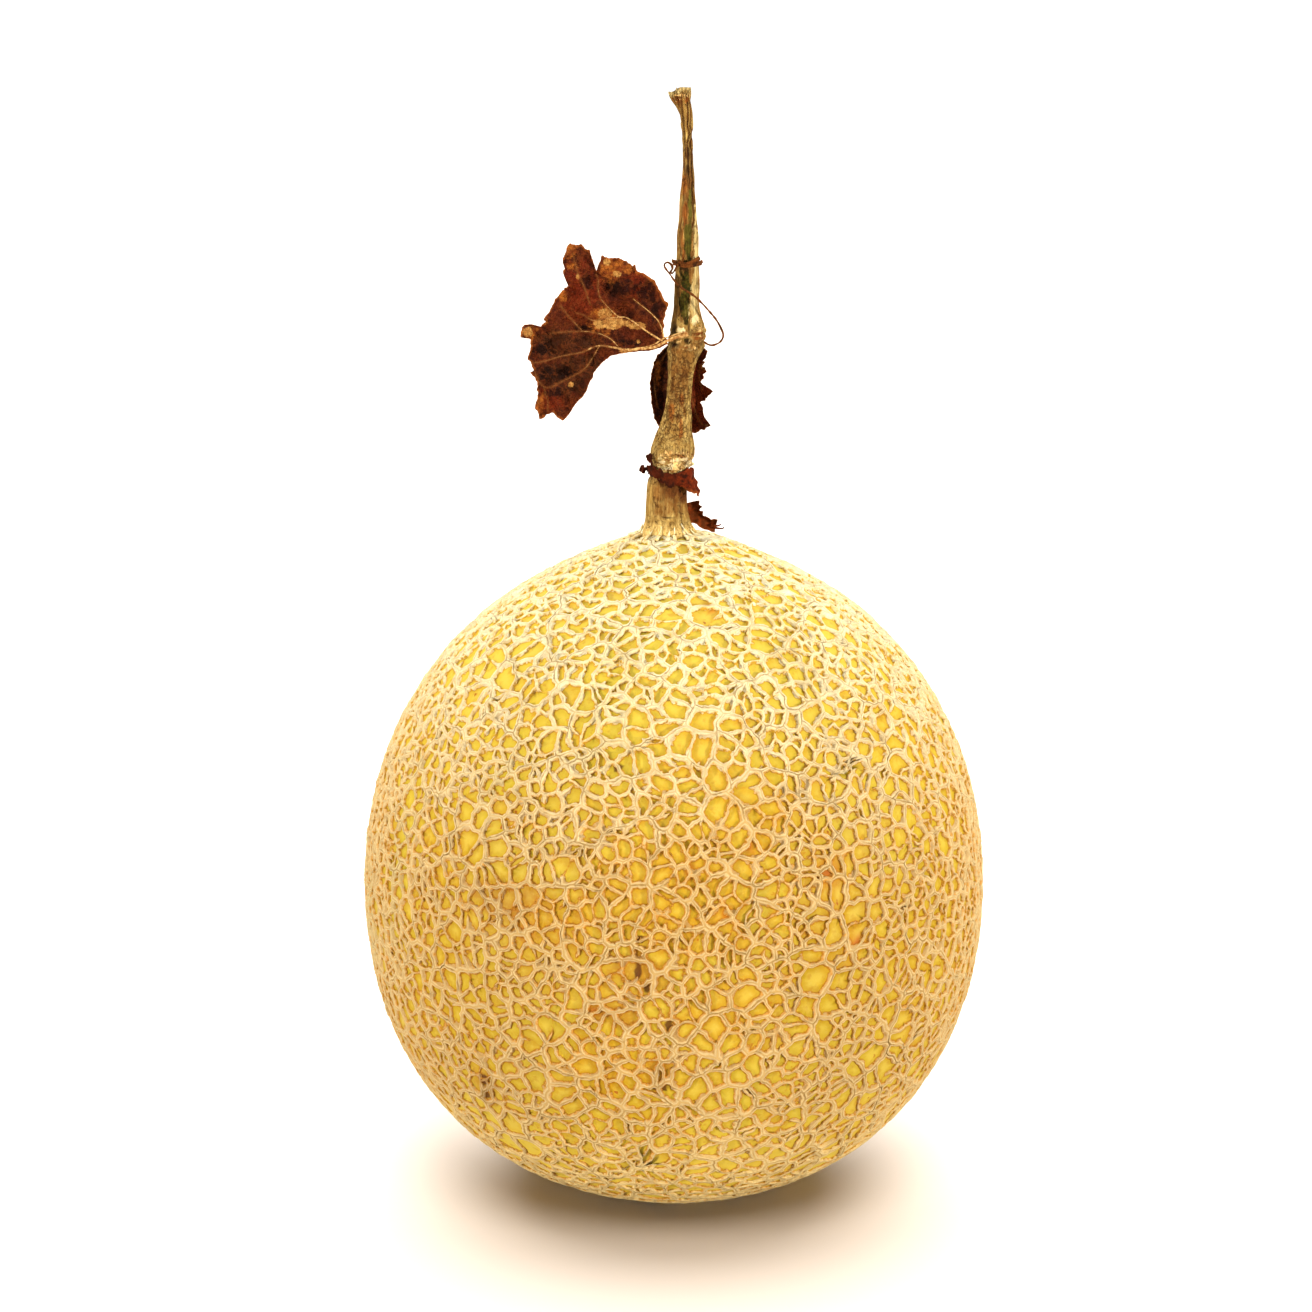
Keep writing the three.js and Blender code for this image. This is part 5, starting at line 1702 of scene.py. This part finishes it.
scrap_width = (SCRAP_WIDTH + (SCRAP_TIP_WIDTH - SCRAP_WIDTH) * scrap_share) * tears
scrap_place = np.linspace(-0.5, 0.5, SCRAP_ROWS + 1)
from_line = (scrap_width[:, None] * scrap_place)[:, :, None]
scrap_flat = scrap_line[:, None] + scrap_across[:, None] * from_line
cup = SCRAP_CUP * (1 - (2 * scrap_place) ** 2) + 0.22 * soft_noise(scrap_flat, 1.8, 561, 24)
scrap_layers = [
    (scrap_flat + stacked(0, cup + side * SCRAP_HALF, SEAT_LEVEL)).reshape(-1, 3)
    for side in (-1, 1)
]
scrap = sheet_solid(*scrap_layers, *grid_faces(SCRAP_COLUMNS, SCRAP_ROWS))
hooks = [thread_solid(over_seat_route(way, 16), np.linspace(0.3, 0.12, 16)) for way in SCRAP_HOOKS]

# %% The material of the collar, the buds and the scrap
torn_material = new_material("dead_leaf_base")
place = millimetres()
dead = coats(
    blend(1.6, (94, 30, 7), (44, 15, 5)),
    (fade(cloud(place, 1.1, 3.0, shift=(2, 6, 1)), 0.52, 0.66), 0.6, (127, 47, 13)),
    (fade(axis_of(place, "X"), 3.0, -1.5), 0.65, (44, 17, 6)),
    (stored("torn_edge"), 0.55, (157, 81, 30)),
)
finish_material(dead, 0.7, 0.02, cloud(place, 0.5, 4.0, 0.7), 0.3)

collar_edge = smooth_step(down, 0.82, 1.0) * flap
scrap_edge = np.tile(0.4 + 0.6 * smooth_step(np.abs(2 * scrap_place), 0.7, 1.0), (len(cup), 1))
for name, node, edge_share, of_rest, solids in (
    ("torn_leaf_base", "leaf_base", collar_edge, 0.0, [collar, *bud_solids]),
    ("curled_scrap", "leaf_scrap", scrap_edge, 0.4, [scrap, *hooks]),
):
    points, triangles = join(solids)
    values = np.full(len(points), of_rest)
    values[: 2 * edge_share.size] = np.tile(edge_share.ravel(), 2)
    add_piece(name, points, triangles, node, "dark_leaf", torn_material, {"torn_edge": values})

# %% [markdown]
# ## The tendril
#
# A wiry tendril springs from the upper joint, swings out to the right, crosses in front of
# the stem and curls twice on its left, where a small withered scale holds it.

# %% The tendril and its scale
TENDRIL_RADIUS = 0.26
TENDRIL_ROUTE = [
    [7.0, -2.6, 44.9], [7.8, -2.9, 44.4], [9.0, -3.2, 44.2], [10.7, -3.4, 45.0], [11.4, -3.5, 46.5],
    [10.8, -3.6, 48.3], [9.7, -3.8, 50.2], [8.3, -4.0, 51.9], [6.3, -4.2, 54.1],
    [4.3, -4.4, 55.9], [1.9, -4.5, 57.4], [0.3, -4.4, 58.8], [-1.0, -4.2, 60.6],
    [-2.2, -4.0, 62.2], [-2.3, -3.9, 63.0], [-1.6, -3.7, 63.4], [-0.7, -3.5, 62.8],
    [-0.5, -3.4, 61.9], [-0.9, -3.3, 61.2], [-0.5, -3.2, 60.9], [0.1, -3.1, 61.6],
    [0.8, -3.0, 63.0],
]
TENDRIL_SPUR = [[1.4, -3.1, 62.9], [3.4, -3.3, 63.2], [5.0, -3.1, 64.0], [5.8, -2.8, 64.4]]
SCALE_CENTRE_X, SCALE_RADIUS, SCALE_BOTTOM = 3.05, 3.2, 62.6
SCALE_HEIGHT, SCALE_HALF_ANGLE, SCALE_HALF = 1.9, 1.5, 0.18
tendril_line = over_seat_route(TENDRIL_ROUTE, 330)
knots = 1 + 0.25 * soft_noise(tendril_line, 1.6, 601, 24)
angle = np.linspace(-SCALE_HALF_ANGLE, SCALE_HALF_ANGLE, 91)[:, None]
up = np.linspace(0, 1, 13)[None, :]
scale_tear = 0.8 + 0.3 * soft_noise(stacked(3 * angle, 0, 0), 0.9, 611, 24)
scale_top = np.clip(SCALE_HEIGHT * np.cos(0.7 * angle) * scale_tear, 0.3, SCALE_HEIGHT)
scale_level = SCALE_BOTTOM + scale_top * up - 0.5 * np.exp(-((angle / 0.7) ** 2))
scale_reach = SCALE_RADIUS + 0.35 * up**2
tendril = join([
    thread_solid(tendril_line, TENDRIL_RADIUS * knots, sides=10),
    thread_solid(over_seat_route(TENDRIL_SPUR, 40), np.linspace(0.3, 0.5, 40)),
    wrapped_sheet(SCALE_CENTRE_X, scale_reach, SCALE_HALF, angle, scale_level),
])

tendril_material = new_material("dry_tendril")
place = millimetres()
wire = coats(blend(2.0, (85, 43, 15), (42, 21, 7)), (streaks(0.3, (1, 1, 0.3)), 0.3, (147, 84, 32)))
finish_material(wire, 0.65, 0.02)
add_piece("curled_tendril", *tendril, "tendril", "tendril", tendril_material)
